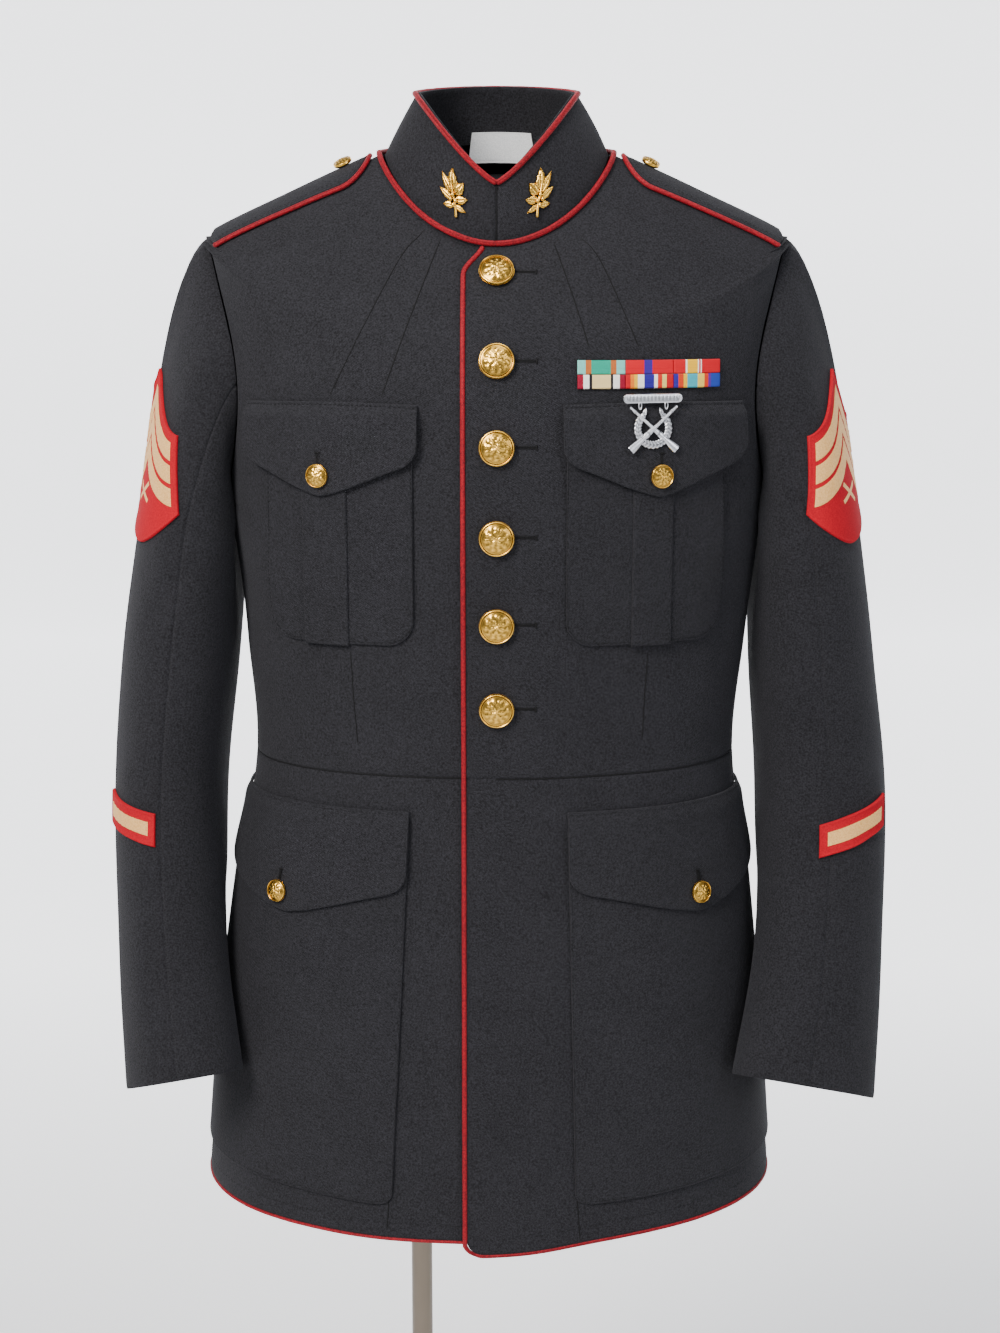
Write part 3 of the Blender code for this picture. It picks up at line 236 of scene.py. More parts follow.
# Narrow folds on the fronts: side, x at both ends, height at both ends
FRONT_FOLDS = (
    (Side.RIGHT, (-0.0585, -0.1210), (1.3900, 1.2680)),
    (Side.RIGHT, (-0.0395, -0.0830), (1.3840, 1.2680)),
    (Side.LEFT, (0.0410, 0.0665), (1.3790, 1.3035)),
    (Side.LEFT, (0.0645, 0.1025), (1.3900, 1.3030)),
    (Side.LEFT, (0.1115, 0.1075), (1.0850, 1.0150)),
    (Side.RIGHT, (-0.1075, -0.1030), (1.0850, 1.0125)),
    (Side.RIGHT, (-0.0810, -0.0835), (0.6690, 0.6410)),
    (Side.LEFT, (0.0610, 0.0635), (0.6647, 0.6326)),
)
# Distance from stitch to stitch
HEM_STITCH, POCKET_STITCH, LABEL_STITCH = 0.0042, 0.0034, 0.0024
# Radius and length of the stitches of a run
STITCH_SIZES = {
    "buttonhole_stitches": (0.00022, 0.0013),
    "label_stitches": (0.00018, 0.0016),
    "other": (0.00024, 0.0021),
}
# Ribbons, top row first: colours, each up to a share of the width
RIBBON_PATTERNS = (
    (("#74c2b8", 0.17), ("#b0602e", 0.29), ("#12997f", 0.71), ("#b0602e", 0.83), ("#74c2b8", 1.0)),
    (("#c40c1e", 0.40), ("#3a1f86", 0.58), ("#c40c1e", 1.0)),
    (("#c40c1e", 0.27), ("#f4f1ea", 0.31), ("#f0b81c", 0.56), ("#f4f1ea", 0.59), ("#c40c1e", 0.63),
     ("#f4f1ea", 0.66), ("#c40c1e", 1.0)),
    (("#8e0c2c", 0.12), ("#f2efe8", 0.25), ("#1c1a20", 0.31), ("#e2c88c", 0.71), ("#1c1a20", 0.76),
     ("#f2efe8", 0.90), ("#8e0c2c", 1.0)),
    (("#bc0e1c", 0.10), ("#e67a14", 0.18), ("#ecb822", 0.26), ("#f2efe8", 0.40), ("#2c1f88", 0.62),
     ("#f2efe8", 0.70), ("#cc2a18", 0.80), ("#e8cc6c", 0.90), ("#bc0e1c", 1.0)),
    (("#32208c", 0.10), ("#d03c18", 0.22), ("#ecb822", 0.31), ("#3aa6b6", 0.56), ("#ecc850", 0.73),
     ("#d03c18", 0.83), ("#5a2890", 0.90), ("#2440a0", 1.0)),
)

# Distance from rib to rib in the gold braid and in the ribbons
BRAID_RIB, RIBBON_RIB = 0.0009, 0.0006

# Steps inwards from a piece's edge, close enough to round the edge and to sink a row of stitches
EDGE_STEPS = (0.0, 0.0002, 0.0005, 0.0009, 0.0014, 0.0020, 0.0026, 0.0032, 0.0042, 0.0060)
STITCH_IN = 0.0022


class Crease(NamedTuple):
    """A soft fold from one place to another. A negative height is a hollow."""

    a0: float
    b0: float
    a1: float
    b1: float
    width: float
    height: float


# Creases of the body's front in x and z, then of its back
FRONT_CREASES = (
    Crease(-0.196, 1.215, -0.150, 1.120, 0.016, 0.0016),
    Crease(-0.190, 1.165, -0.165, 1.060, 0.012, -0.0012),
    Crease(0.196, 1.215, 0.160, 1.110, 0.016, 0.0014),
    Crease(0.188, 1.150, 0.170, 1.050, 0.012, -0.0012),
    Crease(-0.170, 1.330, -0.120, 1.180, 0.030, 0.0014),
    Crease(0.175, 1.320, 0.118, 1.190, 0.030, 0.0012),
    Crease(-0.040, 1.060, -0.160, 1.010, 0.014, 0.0011),
    Crease(0.045, 1.050, 0.165, 1.015, 0.014, 0.0011),
    Crease(-0.030, 1.020, -0.120, 0.995, 0.009, -0.0008),
    Crease(0.030, 1.025, 0.130, 0.995, 0.009, -0.0008),
    Crease(-0.120, 0.975, -0.150, 0.700, 0.040, 0.0018),
    Crease(0.115, 0.975, 0.150, 0.690, 0.040, 0.0018),
    Crease(-0.045, 0.960, -0.040, 0.670, 0.022, -0.0014),
    Crease(0.030, 0.960, 0.045, 0.660, 0.026, -0.0016),
    Crease(-0.085, 0.880, -0.100, 0.650, 0.020, 0.0010),
    Crease(0.080, 0.900, 0.095, 0.650, 0.020, 0.0011),
    Crease(-0.010, 0.940, 0.000, 0.650, 0.016, 0.0009),
)
BACK_CREASES = (
    Crease(-0.170, 1.330, -0.120, 1.160, 0.028, 0.0020),
    Crease(0.172, 1.325, 0.125, 1.150, 0.030, 0.0018),
    Crease(-0.150, 1.060, -0.020, 1.000, 0.013, 0.0022),
    Crease(0.140, 1.040, 0.015, 0.985, 0.014, 0.0020),
    Crease(-0.120, 1.015, -0.010, 0.975, 0.010, -0.0014),
    Crease(0.130, 1.000, 0.020, 0.955, 0.010, -0.0014),
    Crease(-0.090, 0.930, -0.110, 0.660, 0.028, 0.0024),
    Crease(0.080, 0.930, 0.105, 0.655, 0.030, 0.0022),
    Crease(-0.030, 0.900, -0.040, 0.660, 0.020, -0.0016),
    Crease(0.035, 0.910, 0.045, 0.660, 0.022, -0.0016),
    Crease(-0.060, 1.385, 0.055, 1.372, 0.012, 0.0012),
)
# Creases of a sleeve: turn from the outer side in radians towards the front, then height
SLEEVE_CREASES = {
    Side.LEFT: (
        Crease(1.00, 1.320, 1.30, 1.180, 0.016, 0.0018),
        Crease(1.75, 1.215, 1.15, 1.130, 0.011, 0.0016),
        Crease(1.95, 1.165, 1.20, 1.085, 0.010, -0.0014),
        Crease(1.60, 1.000, 0.60, 0.955, 0.012, 0.0018),
        Crease(1.80, 0.965, 0.80, 0.915, 0.010, -0.0015),
        Crease(1.60, 0.930, 0.50, 0.890, 0.012, 0.0014),
        Crease(0.20, 1.120, 0.15, 0.780, 0.014, 0.0008),
        Crease(1.30, 0.880, 1.25, 0.760, 0.012, 0.0010),
        Crease(-1.20, 1.000, -0.30, 0.960, 0.014, 0.0016),
        Crease(-1.30, 0.940, -0.40, 0.915, 0.012, -0.0012),
        Crease(-1.10, 1.240, -0.70, 1.120, 0.018, 0.0018),
    ),
    Side.RIGHT: (
        Crease(1.05, 1.330, 1.25, 1.190, 0.015, 0.0018),
        Crease(1.85, 1.205, 1.10, 1.140, 0.011, 0.0015),
        Crease(1.90, 1.150, 1.05, 1.080, 0.010, -0.0013),
        Crease(1.65, 1.010, 0.70, 0.960, 0.013, 0.0016),
        Crease(1.85, 0.955, 0.90, 0.925, 0.010, -0.0014),
        Crease(1.55, 0.915, 0.60, 0.875, 0.012, 0.0013),
        Crease(0.30, 1.140, 0.25, 0.790, 0.014, 0.0008),
        Crease(1.25, 0.890, 1.20, 0.770, 0.012, 0.0009),
        Crease(-1.15, 0.990, -0.35, 0.955, 0.014, 0.0016),
        Crease(-1.20, 1.230, -0.80, 1.110, 0.018, 0.0018),
    ),
}


def smoothstep(x: Array) -> Array:
    """0 below 0, 1 above 1, with a smooth rise between them."""
    x = np.clip(x, 0.0, 1.0)
    return x * x * (3 - 2 * x)


def paired(a: Array | float, b: Array | float) -> list[Array]:
    """Two arrays of numbers, stretched to the same shape."""
    return np.broadcast_arrays(np.asarray(a, float), np.asarray(b, float))


def bell(x: Array, width: float, middle: float = 0.0) -> Array:
    """1 at the middle, falling off smoothly on both sides."""
    return np.exp(-(((x - middle) / width) ** 2))


def circle(count: int) -> Array:
    """Angles once round, without the last one."""
    return np.linspace(0, 2 * math.pi, count, endpoint=False)


def path_at(path: Array, travelled: Array, where: Array | float) -> Array:
    """The points of a path, or its normals, after these distances."""
    return np.stack([np.interp(where, travelled, path[:, k]) for k in range(3)], axis=-1)


def crowd_ends(count: int) -> Array:
    """Numbers from 0 to 1 that lie closer together near both ends."""
    return (1 - np.cos(np.pi * np.linspace(0, 1, count))) / 2


def edged(count: int, length: float) -> Array:
    """Shares of a length from 0 to 1 with the close steps of a rolled edge at both ends.

    Args:
        count: steps between the two edges.
        length: the piece's width there in metres.
    """
    near = np.array(EDGE_STEPS) / length
    inner = np.linspace(near[-1], 1 - near[-1], count + 1)[1:-1]
    return np.concatenate([near, inner, 1 - near[::-1]])


def read_rows(rows: Sequence[Sequence[float]], t: Array) -> Array:
    """The rows of a table, read smoothly at row number t, also a little past its ends."""
    table = np.array(rows, float)
    table = np.vstack([2 * table[0] - table[1], table, 2 * table[-1] - table[-2]])
    t = np.asarray(t, float)
    i = np.clip(np.floor(t).astype(int), 0, len(rows) - 2)
    u = (t - i)[..., None]
    a, b, c, d = table[i], table[i + 1], table[i + 2], table[i + 3]
    low_slope, high_slope = (c - a) / 2, (d - b) / 2
    value = (2 * u**3 - 3 * u**2 + 1) * b + (u**3 - 2 * u**2 + u) * low_slope
    value = value + (3 * u**2 - 2 * u**3) * c + (u**3 - u**2) * high_slope
    return np.moveaxis(value, -1, 0)


def section_at(t: Array) -> Section:
    """The coat's ring at each ring number."""
    return Section(*read_rows(SECTIONS, t))


def round_out(phi: Array, square: Array | float) -> Array:
    """The factor that turns an ellipse into a slightly squarer ring."""
    s, c = np.abs(np.sin(phi)), np.abs(np.cos(phi))
    return (s**square + c**square) ** (-1 / square)


def normals(surface: Callable[[Array, Array], Array], a: Array, b: Array, step: float = 2e-3) -> Array:
    """Unit vectors square to surface(a, b), from its slopes."""
    along = surface(a + step, b) - surface(a - step, b)
    up = surface(a, b + step) - surface(a, b - step)
    n = np.cross(along, up)
    return n / np.linalg.norm(n, axis=-1, keepdims=True)


def crease_height(creases: Sequence[Crease], a: Array, b: Array, scale: float = 1.0) -> Array:
    """The sum of the creases at the places (a, b).

    Args:
        creases: the table of folds.
        a: first coordinate of each place.
        b: second coordinate of each place, in metres.
        scale: metres for one unit of a.

    Returns:
        How far the cloth stands out, in metres.
    """
    total = np.zeros(np.shape(a))
    for fold in creases:
        run = np.array([(fold.a1 - fold.a0) * scale, fold.b1 - fold.b0])
        length = float(np.hypot(*run))
        da, db = (a - fold.a0) * scale, b - fold.b0
        share = (da * run[0] + db * run[1]) / length**2
        aside = (da * run[1] - db * run[0]) / length
        bend = aside - 0.10 * length * np.sin(np.pi * np.clip(share, 0, 1))
        ends = smoothstep(np.minimum(share + 0.12, 1.12 - share) / 0.45)
        total = total + fold.height * ends * bell(bend, fold.width)
    return total


class CoatBody:
    """The coat's outer surface: ring angle phi, 0 at the front centre, and ring number t."""

    turns = np.linspace(0.0, 2 * math.pi, 361)
    heights = np.linspace(0.58, 1.50, 461)

    def __init__(self) -> None:
        """Makes the table that turns heights into ring numbers."""
        t = np.linspace(HEM - 0.3, NECK, 1400)
        z = self.base(self.turns[:, None], t[None, :])[..., 2]
        self.table = np.array([np.interp(self.heights, row, t) for row in z])

    def base(self, phi: Array, t: Array) -> Array:
        """Points of the surface without creases."""
        row = section_at(t)
        k = round_out(phi, row.square)
        ahead = np.cos(phi) >= 0
        depth = np.where(ahead, row.depth_front, row.depth_back)
        end = np.where(ahead, row.front, row.back)
        x = row.shift + row.half_width * np.sin(phi) * k
        y = -depth * np.cos(phi) * k
        z = row.side + (end - row.side) * np.abs(np.cos(phi)) ** RING_TILT_POWER
        return np.stack([x, y, z], axis=-1)

    def relief(self, points: Array) -> Array:
        """How far the creases stand out at these points."""
        x, y, z = points[..., 0], points[..., 1], points[..., 2]
        share = smoothstep((y + 0.03) / 0.06)
        front = crease_height(FRONT_CREASES, x, z)
        back = crease_height(BACK_CREASES, x, z)
        drape = np.sin(31 * x + 4.0 * z) * np.sin(9.0 * z + 1.3) * 0.0004
        lower = smoothstep((0.96 - z) / 0.25) * np.sin(58 * x + 0.9) * 0.0005
        neck = smoothstep((1.40 - z) / 0.05)
        return (front * (1 - share) + back * share + drape + lower) * neck

    def normal(self, phi: Array, t: Array) -> Array:
        """Unit vectors out of the surface, without its creases."""
        return normals(self.base, np.asarray(phi, float), np.asarray(t, float))

    def at(self, phi: Array, t: Array, lift: Array | float = 0.0) -> Array:
        """Points of the creased surface, moved out by lift."""
        phi, t = paired(phi, t)
        base = self.base(phi, t)
        lift = np.broadcast_to(np.asarray(lift, float), phi.shape) + self.relief(base)
        return base + self.normal(phi, t) * lift[..., None]

    def ring_of(self, phi: Array, z: Array) -> Array:
        """The ring number at which the surface at angle phi has this height."""
        phi, z = paired(phi, z)
        a = np.mod(phi, 2 * math.pi) / (self.turns[1] - self.turns[0])
        b = (z - self.heights[0]) / (self.heights[1] - self.heights[0])
        i = np.clip(a.astype(int), 0, len(self.turns) - 2)
        j = np.clip(b.astype(int), 0, len(self.heights) - 2)
        u, v = a - i, np.clip(b - j, 0.0, 1.0)
        low = self.table[i, j] * (1 - v) + self.table[i, j + 1] * v
        high = self.table[i + 1, j] * (1 - v) + self.table[i + 1, j + 1] * v
        return low * (1 - u) + high * u

    def angle_of(self, x: Array, t: Array) -> Array:
        """The ring angle at which the front of ring t has this x."""
        row = section_at(t)
        share = np.clip((x - row.shift) / row.half_width, -0.999, 0.999)
        rest = (1 - np.abs(share) ** row.square) ** (1 / row.square)
        return np.arctan2(share, rest)

    def front_place(self, x: Array, z: Array) -> tuple[Array, Array]:
        """Ring angle and ring number of the front's point at x and z."""
        x, z = paired(x, z)
        phi = self.angle_of(x, np.full(x.shape, float(RIB)))
        for _ in range(6):
            phi = self.angle_of(x, self.ring_of(phi, z))
        return phi, self.ring_of(phi, z)

    def front_at(self, x: Array, z: Array, lift: Array | float = 0.0) -> Array:
        """Points of the creased front at x and z, moved out by lift."""
        phi, t = self.front_place(x, z)
        return self.at(phi, t, lift)

    def shoulder_place(self, x: Array, y: Array) -> tuple[Array, Array]:
        """Ring angle and ring number of the shoulder point at x and y, seen from above."""
        x, y = paired(x, y)
        low, high = np.full(x.shape, float(TIP)), np.full(x.shape, float(NECK))
        for _ in range(30):
            middle = (low + high) / 2
            row = section_at(middle)
            depth = np.where(y < 0, row.depth_front, row.depth_back)
            inside = np.abs(x / row.half_width) ** row.square + np.abs(y / depth) ** row.square < 1
            low, high = np.where(inside, middle, low), np.where(inside, high, middle)
        row = section_at(low)
        depth = np.where(y < 0, row.depth_front, row.depth_back)
        return np.arctan2(x / row.half_width, -y / depth), low

    def lower_place(self, u: Array, z: Array, side: Side) -> tuple[Array, Array]:
        """Ring angle and ring number at a share u of a lower pocket's width and a height."""
        share = (LOWER_FLAP_TOP - z) / (LOWER_FLAP_TOP - SECTIONS[HEM].side)
        edge = LOWER_INNER_TOP[side] + (LOWER_INNER_BOTTOM[side] - LOWER_INNER_TOP[side]) * share
        phi = side.value * LOWER_OUTER * np.ones_like(u)
        for _ in range(5):
            start = side.value * self.angle_of(side.value * edge, self.ring_of(phi, z))
            phi = side.value * (start + (LOWER_OUTER - start) * u)
        return phi, self.ring_of(phi, z)

    def armhole_angle(self, t: Array, reach: float) -> Array:
        """How far from the front centre a front panel runs at ring t."""
        height = section_at(t).side
        q = np.clip((height - ARMHOLE_FOOT) / (ARMHOLE_TOP - ARMHOLE_FOOT), 0.0, 1.0)
        q = np.where(np.asarray(t) >= TIP, 1.0, q)
        return math.pi / 2 - reach * np.sqrt(np.sin(np.pi * q))

    def armhole_point(self, theta: Array, side: Side) -> Array:
        """A point of the armhole seam: theta is 0 on top, 90 degrees in front, 180 below."""
        theta = np.mod(theta, 2 * math.pi)
        in_front = theta <= math.pi
        q = 1 - np.where(in_front, theta, 2 * math.pi - theta) / math.pi
        height = np.minimum(ARMHOLE_FOOT + (ARMHOLE_TOP - ARMHOLE_FOOT) * q, ARMHOLE_TOP)
        t = self.ring_of(np.full(np.shape(height), math.pi / 2), height)
        front = self.armhole_angle(t, ARMHOLE_FRONT)
        back = math.pi - self.armhole_angle(t, ARMHOLE_BACK)
        return self.base(side.value * np.where(in_front, front, back), t)

    def reach(self, y: Array, z: Array, side: Side) -> Array:
        """How far out the side of the body stands at this y and z."""
        phi = np.full(np.shape(z), math.pi / 2)
        for _ in range(4):
            ring = self.ring_of(phi, z)
            row = section_at(ring)
            depth = np.where(y < 0, row.depth_front, row.depth_back)
            share = np.clip(-y / depth, -0.98, 0.98)
            phi = np.arctan2((1 - np.abs(share) ** row.square) ** (1 / row.square), share)
        return side.value * row.shift + row.half_width * np.sin(phi) * round_out(phi, row.square)


class Sleeve:
    """A sleeve's outer surface: turn theta, 0 on the outer side and 90 degrees in front, and row v."""

    def __init__(self, coat: CoatBody, side: Side) -> None:
        """Takes the coat that the sleeve joins and its side."""
        self.coat, self.side = coat, side
        self.rows = SLEEVES[side]

    def ring(self, theta: Array, v: Array) -> Array:
        """Points of the sleeve below its cap, without creases."""
        row = SleeveRing(*read_rows(self.rows, v))
        k = round_out(theta, SLEEVE_SQUARE)
        across, ahead = np.cos(theta) * k, np.sin(theta) * k
        middle, half = (row.outer + row.inner) / 2, (row.outer - row.inner) / 2
        x = middle + half * across
        y = row.centre_y - row.half_depth * ahead
        z = row.height + row.front_up * ahead + row.outer_up * across
        return np.stack([self.side.value * x, y, z], axis=-1)

    def base(self, theta: Array, v: Array) -> Array:
        """Points of the surface: v is 0 at the armhole, 1 below the cap and 5 at the cuff."""
        theta, v = paired(theta, v)
        sign = self.side.value
        below = self.ring(theta, np.maximum(v, 1.0) - 1.0)
        start, end = self.coat.armhole_point(theta, self.side), self.ring(theta, np.zeros_like(v))
        reach = np.linalg.norm(end - start, axis=-1, keepdims=True)
        c, s = np.cos(theta), np.sin(theta)
        leave = np.stack([sign * (0.85 + 0.15 * c), -0.35 * s, -(0.72 - 0.28 * c)], axis=-1)
        leave = leave / np.linalg.norm(leave, axis=-1, keepdims=True) * reach * CAP_PULL
        arrive = self.ring(theta, np.full_like(v, 0.05)) - end
        arrive = arrive / np.linalg.norm(arrive, axis=-1, keepdims=True) * reach
        start = start + leave / np.linalg.norm(leave, axis=-1, keepdims=True) * GAP * 1.6
        u = np.clip(v, 0.0, 1.0)[..., None]
        cap = (2 * u**3 - 3 * u**2 + 1) * start + (u**3 - 2 * u**2 + u) * leave
        cap = cap + (3 * u**2 - 2 * u**3) * end + (u**3 - u**2) * arrive
        points = np.where((v < 1.0)[..., None], cap, below)
        near, middle, far = BODY_CLEARANCE
        z = points[..., 2]
        under = smoothstep((SECTIONS[ARMPIT].side - z) / 0.035)
        clearance = near * smoothstep(v / 0.2) + (middle - near) * under
        clearance = clearance + (far - middle) * smoothstep((SECTIONS[WAIST].side - z) / 0.08)
        limit = self.coat.reach(points[..., 1], z, self.side) + clearance
        outward = sign * points[..., 0]
        soft = 0.004 * under
        points[..., 0] = sign * (outward + limit + np.sqrt((outward - limit) ** 2 + soft**2)) / 2
        return points

    def relief(self, theta: Array, z: Array) -> Array:
        """The sleeve's creases, which fade out on the side that lies next to the body."""
        turn = np.mod(theta + math.pi, 2 * math.pi) - math.pi
        folds = crease_height(SLEEVE_CREASES[self.side], turn, z, scale=0.055)
        wave = np.sin(24 * z + 1.7 * turn) * np.sin(11 * z + 0.6) * 0.0004
        outer = smoothstep((np.cos(turn) + 0.75) / 0.5)
        return (folds + wave) * outer * smoothstep((1.365 - z) / 0.05)

    def at(self, theta: Array, v: Array, lift: Array | float = 0.0) -> Array:
        """Points of the creased surface, moved out by lift."""
        theta, v = paired(theta, v)
        base = self.base(theta, v)
        n = normals(self.base, theta, v + 4e-3) * self.side.value
        lift = np.broadcast_to(np.asarray(lift, float), theta.shape)
        lift = lift + self.relief(theta, base[..., 2])
        return base + n * lift[..., None]

    def row_at(self, turn: Array, z: Array) -> Array:
        """The row number at which this turn has this height."""
        turn, z = paired(turn, z)
        low, high = np.full(turn.shape, 0.05), np.full(turn.shape, 5.0)
        for _ in range(16):
            middle = (low + high) / 2
            above = self.base(turn, middle)[..., 2] > z
            low, high = np.where(above, middle, low), np.where(above, high, middle)
        return (low + high) / 2

    def turn_over(self, reach: Array, about: Array | float) -> Array:
        """The turn at this reach along the cloth from the turn about."""
        row = self.rows[0]
        half = (row.outer - row.inner) / 2
        turns = np.linspace(-math.pi, math.pi, 481)
        travelled = np.cumsum(np.hypot(half * np.sin(turns), row.half_depth * np.cos(turns)))
        travelled *= turns[1] - turns[0]
        return np.interp(np.interp(about, turns, travelled) + reach, travelled, turns)


class Collar:
    """The collar's outer surface: angle psi and height share h, 0 at its foot and 1 at its top."""

    def base(self, psi: Array, h: Array) -> Array:
        """Points of the surface, slightly bellied between foot and top."""
        neck = SECTIONS[NECK]
        psi, h = paired(psi, h)
        ahead = np.cos(psi) >= 0
        share = np.abs(np.cos(psi))
        depth = np.where(ahead, neck.depth_front, neck.depth_back) - COLLAR_SET_IN
        end = np.where(ahead, neck.front, neck.back)
        foot_z = neck.side + (end - neck.side) * share**RING_TILT_POWER - COLLAR_FOOT
        foot_x = (neck.half_width - COLLAR_SET_IN) * np.sin(psi)
        foot = np.stack([foot_x, -depth * np.cos(psi), foot_z], axis=-1)
        top_end = np.where(ahead, COLLAR_TOP.front, COLLAR_TOP.back)
        fall_ahead = 1 - np.abs(np.sin(psi)) ** COLLAR_FRONT_POWER
        fall = np.where(ahead, fall_ahead, share**COLLAR_TOP_POWER)
        top_z = COLLAR_TOP.side + (top_end - COLLAR_TOP.side) * fall
        top_x, top_y = COLLAR_TOP.half_width * np.sin(psi), -COLLAR_TOP.depth * np.cos(psi)
        top = np.stack([top_x, top_y, top_z], axis=-1)
        belly = np.stack([np.sin(psi), -np.cos(psi), 0 * psi], axis=-1) * 0.0012
        h = h[..., None]
        return foot + (top - foot) * h + belly * 4 * h * (1 - h)

    def at(self, psi: Array, h: Array, lift: Array | float = 0.0) -> Array:
        """Points of the surface, moved out by lift."""
        psi, h = paired(psi, h)
        lift = np.broadcast_to(np.asarray(lift, float), psi.shape)
        return self.base(psi, h) + normals(self.base, psi, h) * lift[..., None]


def lap_lift(x: Array) -> Array:
    """How far the left front stands out where it laps over the right one."""
    return LAP_LIFT * (1 - smoothstep((x - LAP_FADE[0]) / (LAP_FADE[1] - LAP_FADE[0])))


def over_lap(x: Array, lift: Array | float) -> Array:
    """Lift over whichever front lies under a patch at x."""
    return lift + np.where(x > 0, lap_lift(x), 0.0)


def lap_edge(t: Array) -> Array:
    """x of the left front's free edge, which turns in below the collar."""
    turn = smoothstep((t - LAP_TURN_RING) / (NECK - LAP_TURN_RING))
    return LAP_EDGE + (LAP_EDGE_AT_NECK - LAP_EDGE) * turn


def hem_ring(x: Array, is_lap: bool) -> Array:
    """Ring number of the hem: the left front dips towards its rounded corner."""
    x = np.asarray(x, float)
    if not is_lap:
        return np.zeros(x.shape)
    pitch = SECTIONS[LOW].front - SECTIONS[HEM].front
    drop = LAP_HEM_DROP * (1 - smoothstep((x - LAP_EDGE) / 0.16))
    inside = np.clip((LAP_EDGE + HEM_CORNER - x) / HEM_CORNER, 0.0, 1.0)
    rise = HEM_CORNER * (1 - np.sqrt(1 - 0.98 * inside**2))
    return HEM + (rise - drop) / pitch


def rounded_foot(u: Array, width: float, corner: float) -> Array:
    """How far the bottom edge of a pocket rises at u, from a rounded corner at each end."""
    aside = np.minimum(u, 1 - u) * width
    inside = np.clip((corner - aside) / corner, 0.0, 1.0)
    return corner * (1 - np.sqrt(np.maximum(1 - inside**2, 0.0)))


def pointed_foot(u: Array, at: float, sides: tuple[float, float], point_z: float, width: float) -> Array:
    """Heights of a flap's bottom edge, from its sides down to a point.

    Args:
        u: shares of its width.
        at: the point's share.
        sides: heights at its two sides.
        point_z: the point's height.
        width: its width in metres.
    """
    slope = np.where(u < at, u / at, (1 - u) / (1 - at))
    side_z = np.where(u < at, sides[0], sides[1])
    edge = side_z + (point_z - side_z) * (0.45 * smoothstep(slope) + 0.55 * slope)
    return edge + rounded_foot(u, width, FLAP_CORNER)


def linear(colour: str) -> tuple[float, float, float, float]:
    """Linear RGBA of an sRGB hex colour such as "#d9a441"."""
    values = [int(colour[i : i + 2], 16) / 255 for i in (1, 3, 5)]
    return (*(v / 12.92 if v <= 0.04045 else ((v + 0.055) / 1.055) ** 2.4 for v in values), 1.0)


@dataclass(frozen=True)
class ClothFinish:
    """A woven or felted cloth. Lengths are in metres."""

    name: str
    dark: str
    light: str
    roughness: float
    sheen: float
    sheen_tint: str
    pitch: float
    weave_depth: float
    fuzz_depth: float
    tilt: float = math.radians(58)


@dataclass(frozen=True)
class MetalFinish:
    """A polished or satin metal with painted shade in its hollows."""

    name: str
    colour: str
    # colour of the painted shade in its hollows
    hollow: str
    roughness: float
    grain_depth: float


# Brushed wool serge: deep and matt, with faint slanting lines
WOOL = ClothFinish("wool", "#09090c", "#29292e", 0.92, 0.08, "#9a9ca6", 0.0011, 0.00018, 0.00030)
# Twisted rayon cord: a saturated red with a soft line of light along its top
CORD = ClothFinish("cord", "#5c0410", "#a00c1e", 0.60, 0.05, "#ff8088", 0.0012, 0.00016, 0.00008)
# Cotton jersey: almost black, without highlights
JERSEY = ClothFinish("jersey", "#141417", "#1e1e22", 0.92, 0.20, "#6f6f78", 0.0014, 0.00012, 0.00010)
# Woven polyester satin: a bright white, a little silky
LABEL = ClothFinish("label", "#cfd2d6", "#eef0f2", 0.75, 0.25, "#ffffff", 0.0007, 0.00006, 0.00003)
# Polyester thread, darker than the wool; the same dark finish is painted shade along seams, folds and slits,
# so that they read as lines
THREAD_AND_SHADE = ClothFinish("thread", "#050506", "#0b0b0d", 0.80, 0.05, "#8d93a6", 0.0006, 0.00004, 0.00004)
# Gilt brass: sharp warm highlights over painted brown shade in its hollows
GILT = MetalFinish("gilt", "#efbe55", "#4a2c0a", 0.25, 0.00004)
# Silver-plated brass: bright cool edges over painted dark grey shade in its hollows
SILVER = MetalFinish("silver", "#dfe1e6", "#34363c", 0.28, 0.00005)
# Satin steel: a warm grey with a broad soft highlight; its darker colour is painted shade, used on the ribbon
# bar
STEEL = MetalFinish("steel", "#776e63", "#4a453e", 0.32, 0.00002)


class Nodes:
    """A node tree and the one call that adds a node to it."""

    def __init__(self, tree: bpy.types.NodeTree) -> None:
        """Takes the tree."""
        self.tree = tree

    def put(self, sockets: bpy.types.bpy_prop_collection, values: dict) -> None:
        """Links or sets sockets, named or numbered by the keys."""
        for key, value in values.items():
            if isinstance(value, bpy.types.NodeSocket):
                self.tree.links.new(value, sockets[key])
            else:
                sockets[key].default_value = value

    def add(self, kind: str, *inputs: object, out: int | str = 0, **settings: object) -> bpy.types.NodeSocket:
        """Adds a node with its settings and links.

        Args:
            kind: its type, with "ShaderNode" left out, and after a slash its operation.
            inputs: values or links for its first sockets, or one dict of them by name or number.
            out: the output that is wanted.
            settings: its other properties.

        Returns:
            That output's socket, if the node has outputs.
        """
        kind, _, operation = kind.partition("/")
        node = self.tree.nodes.new(kind if "Node" in kind else f"ShaderNode{kind}")
        if operation:
            node.operation = operation
        for key, value in settings.items():
            setattr(node, key, value)
        named = inputs and isinstance(inputs[0], dict)
        self.put(node.inputs, inputs[0] if named else dict(enumerate(inputs)))
        return node.outputs[out] if node.outputs else None


class Finish(Nodes):
    """A new material with its nodes."""

    def __init__(self, name: str) -> None:
        """Makes the material under this name."""
        self.material = bpy.data.materials.new(name)
        self.material.use_nodes = True
        super().__init__(self.material.node_tree)
        self.shader = self.tree.nodes["Principled BSDF"]

    def shade(self, **values: object) -> None:
        """Links or sets the shader's own sockets, with underscores for spaces."""
        self.put(self.shader.inputs, {key.replace("_", " "): value for key, value in values.items()})


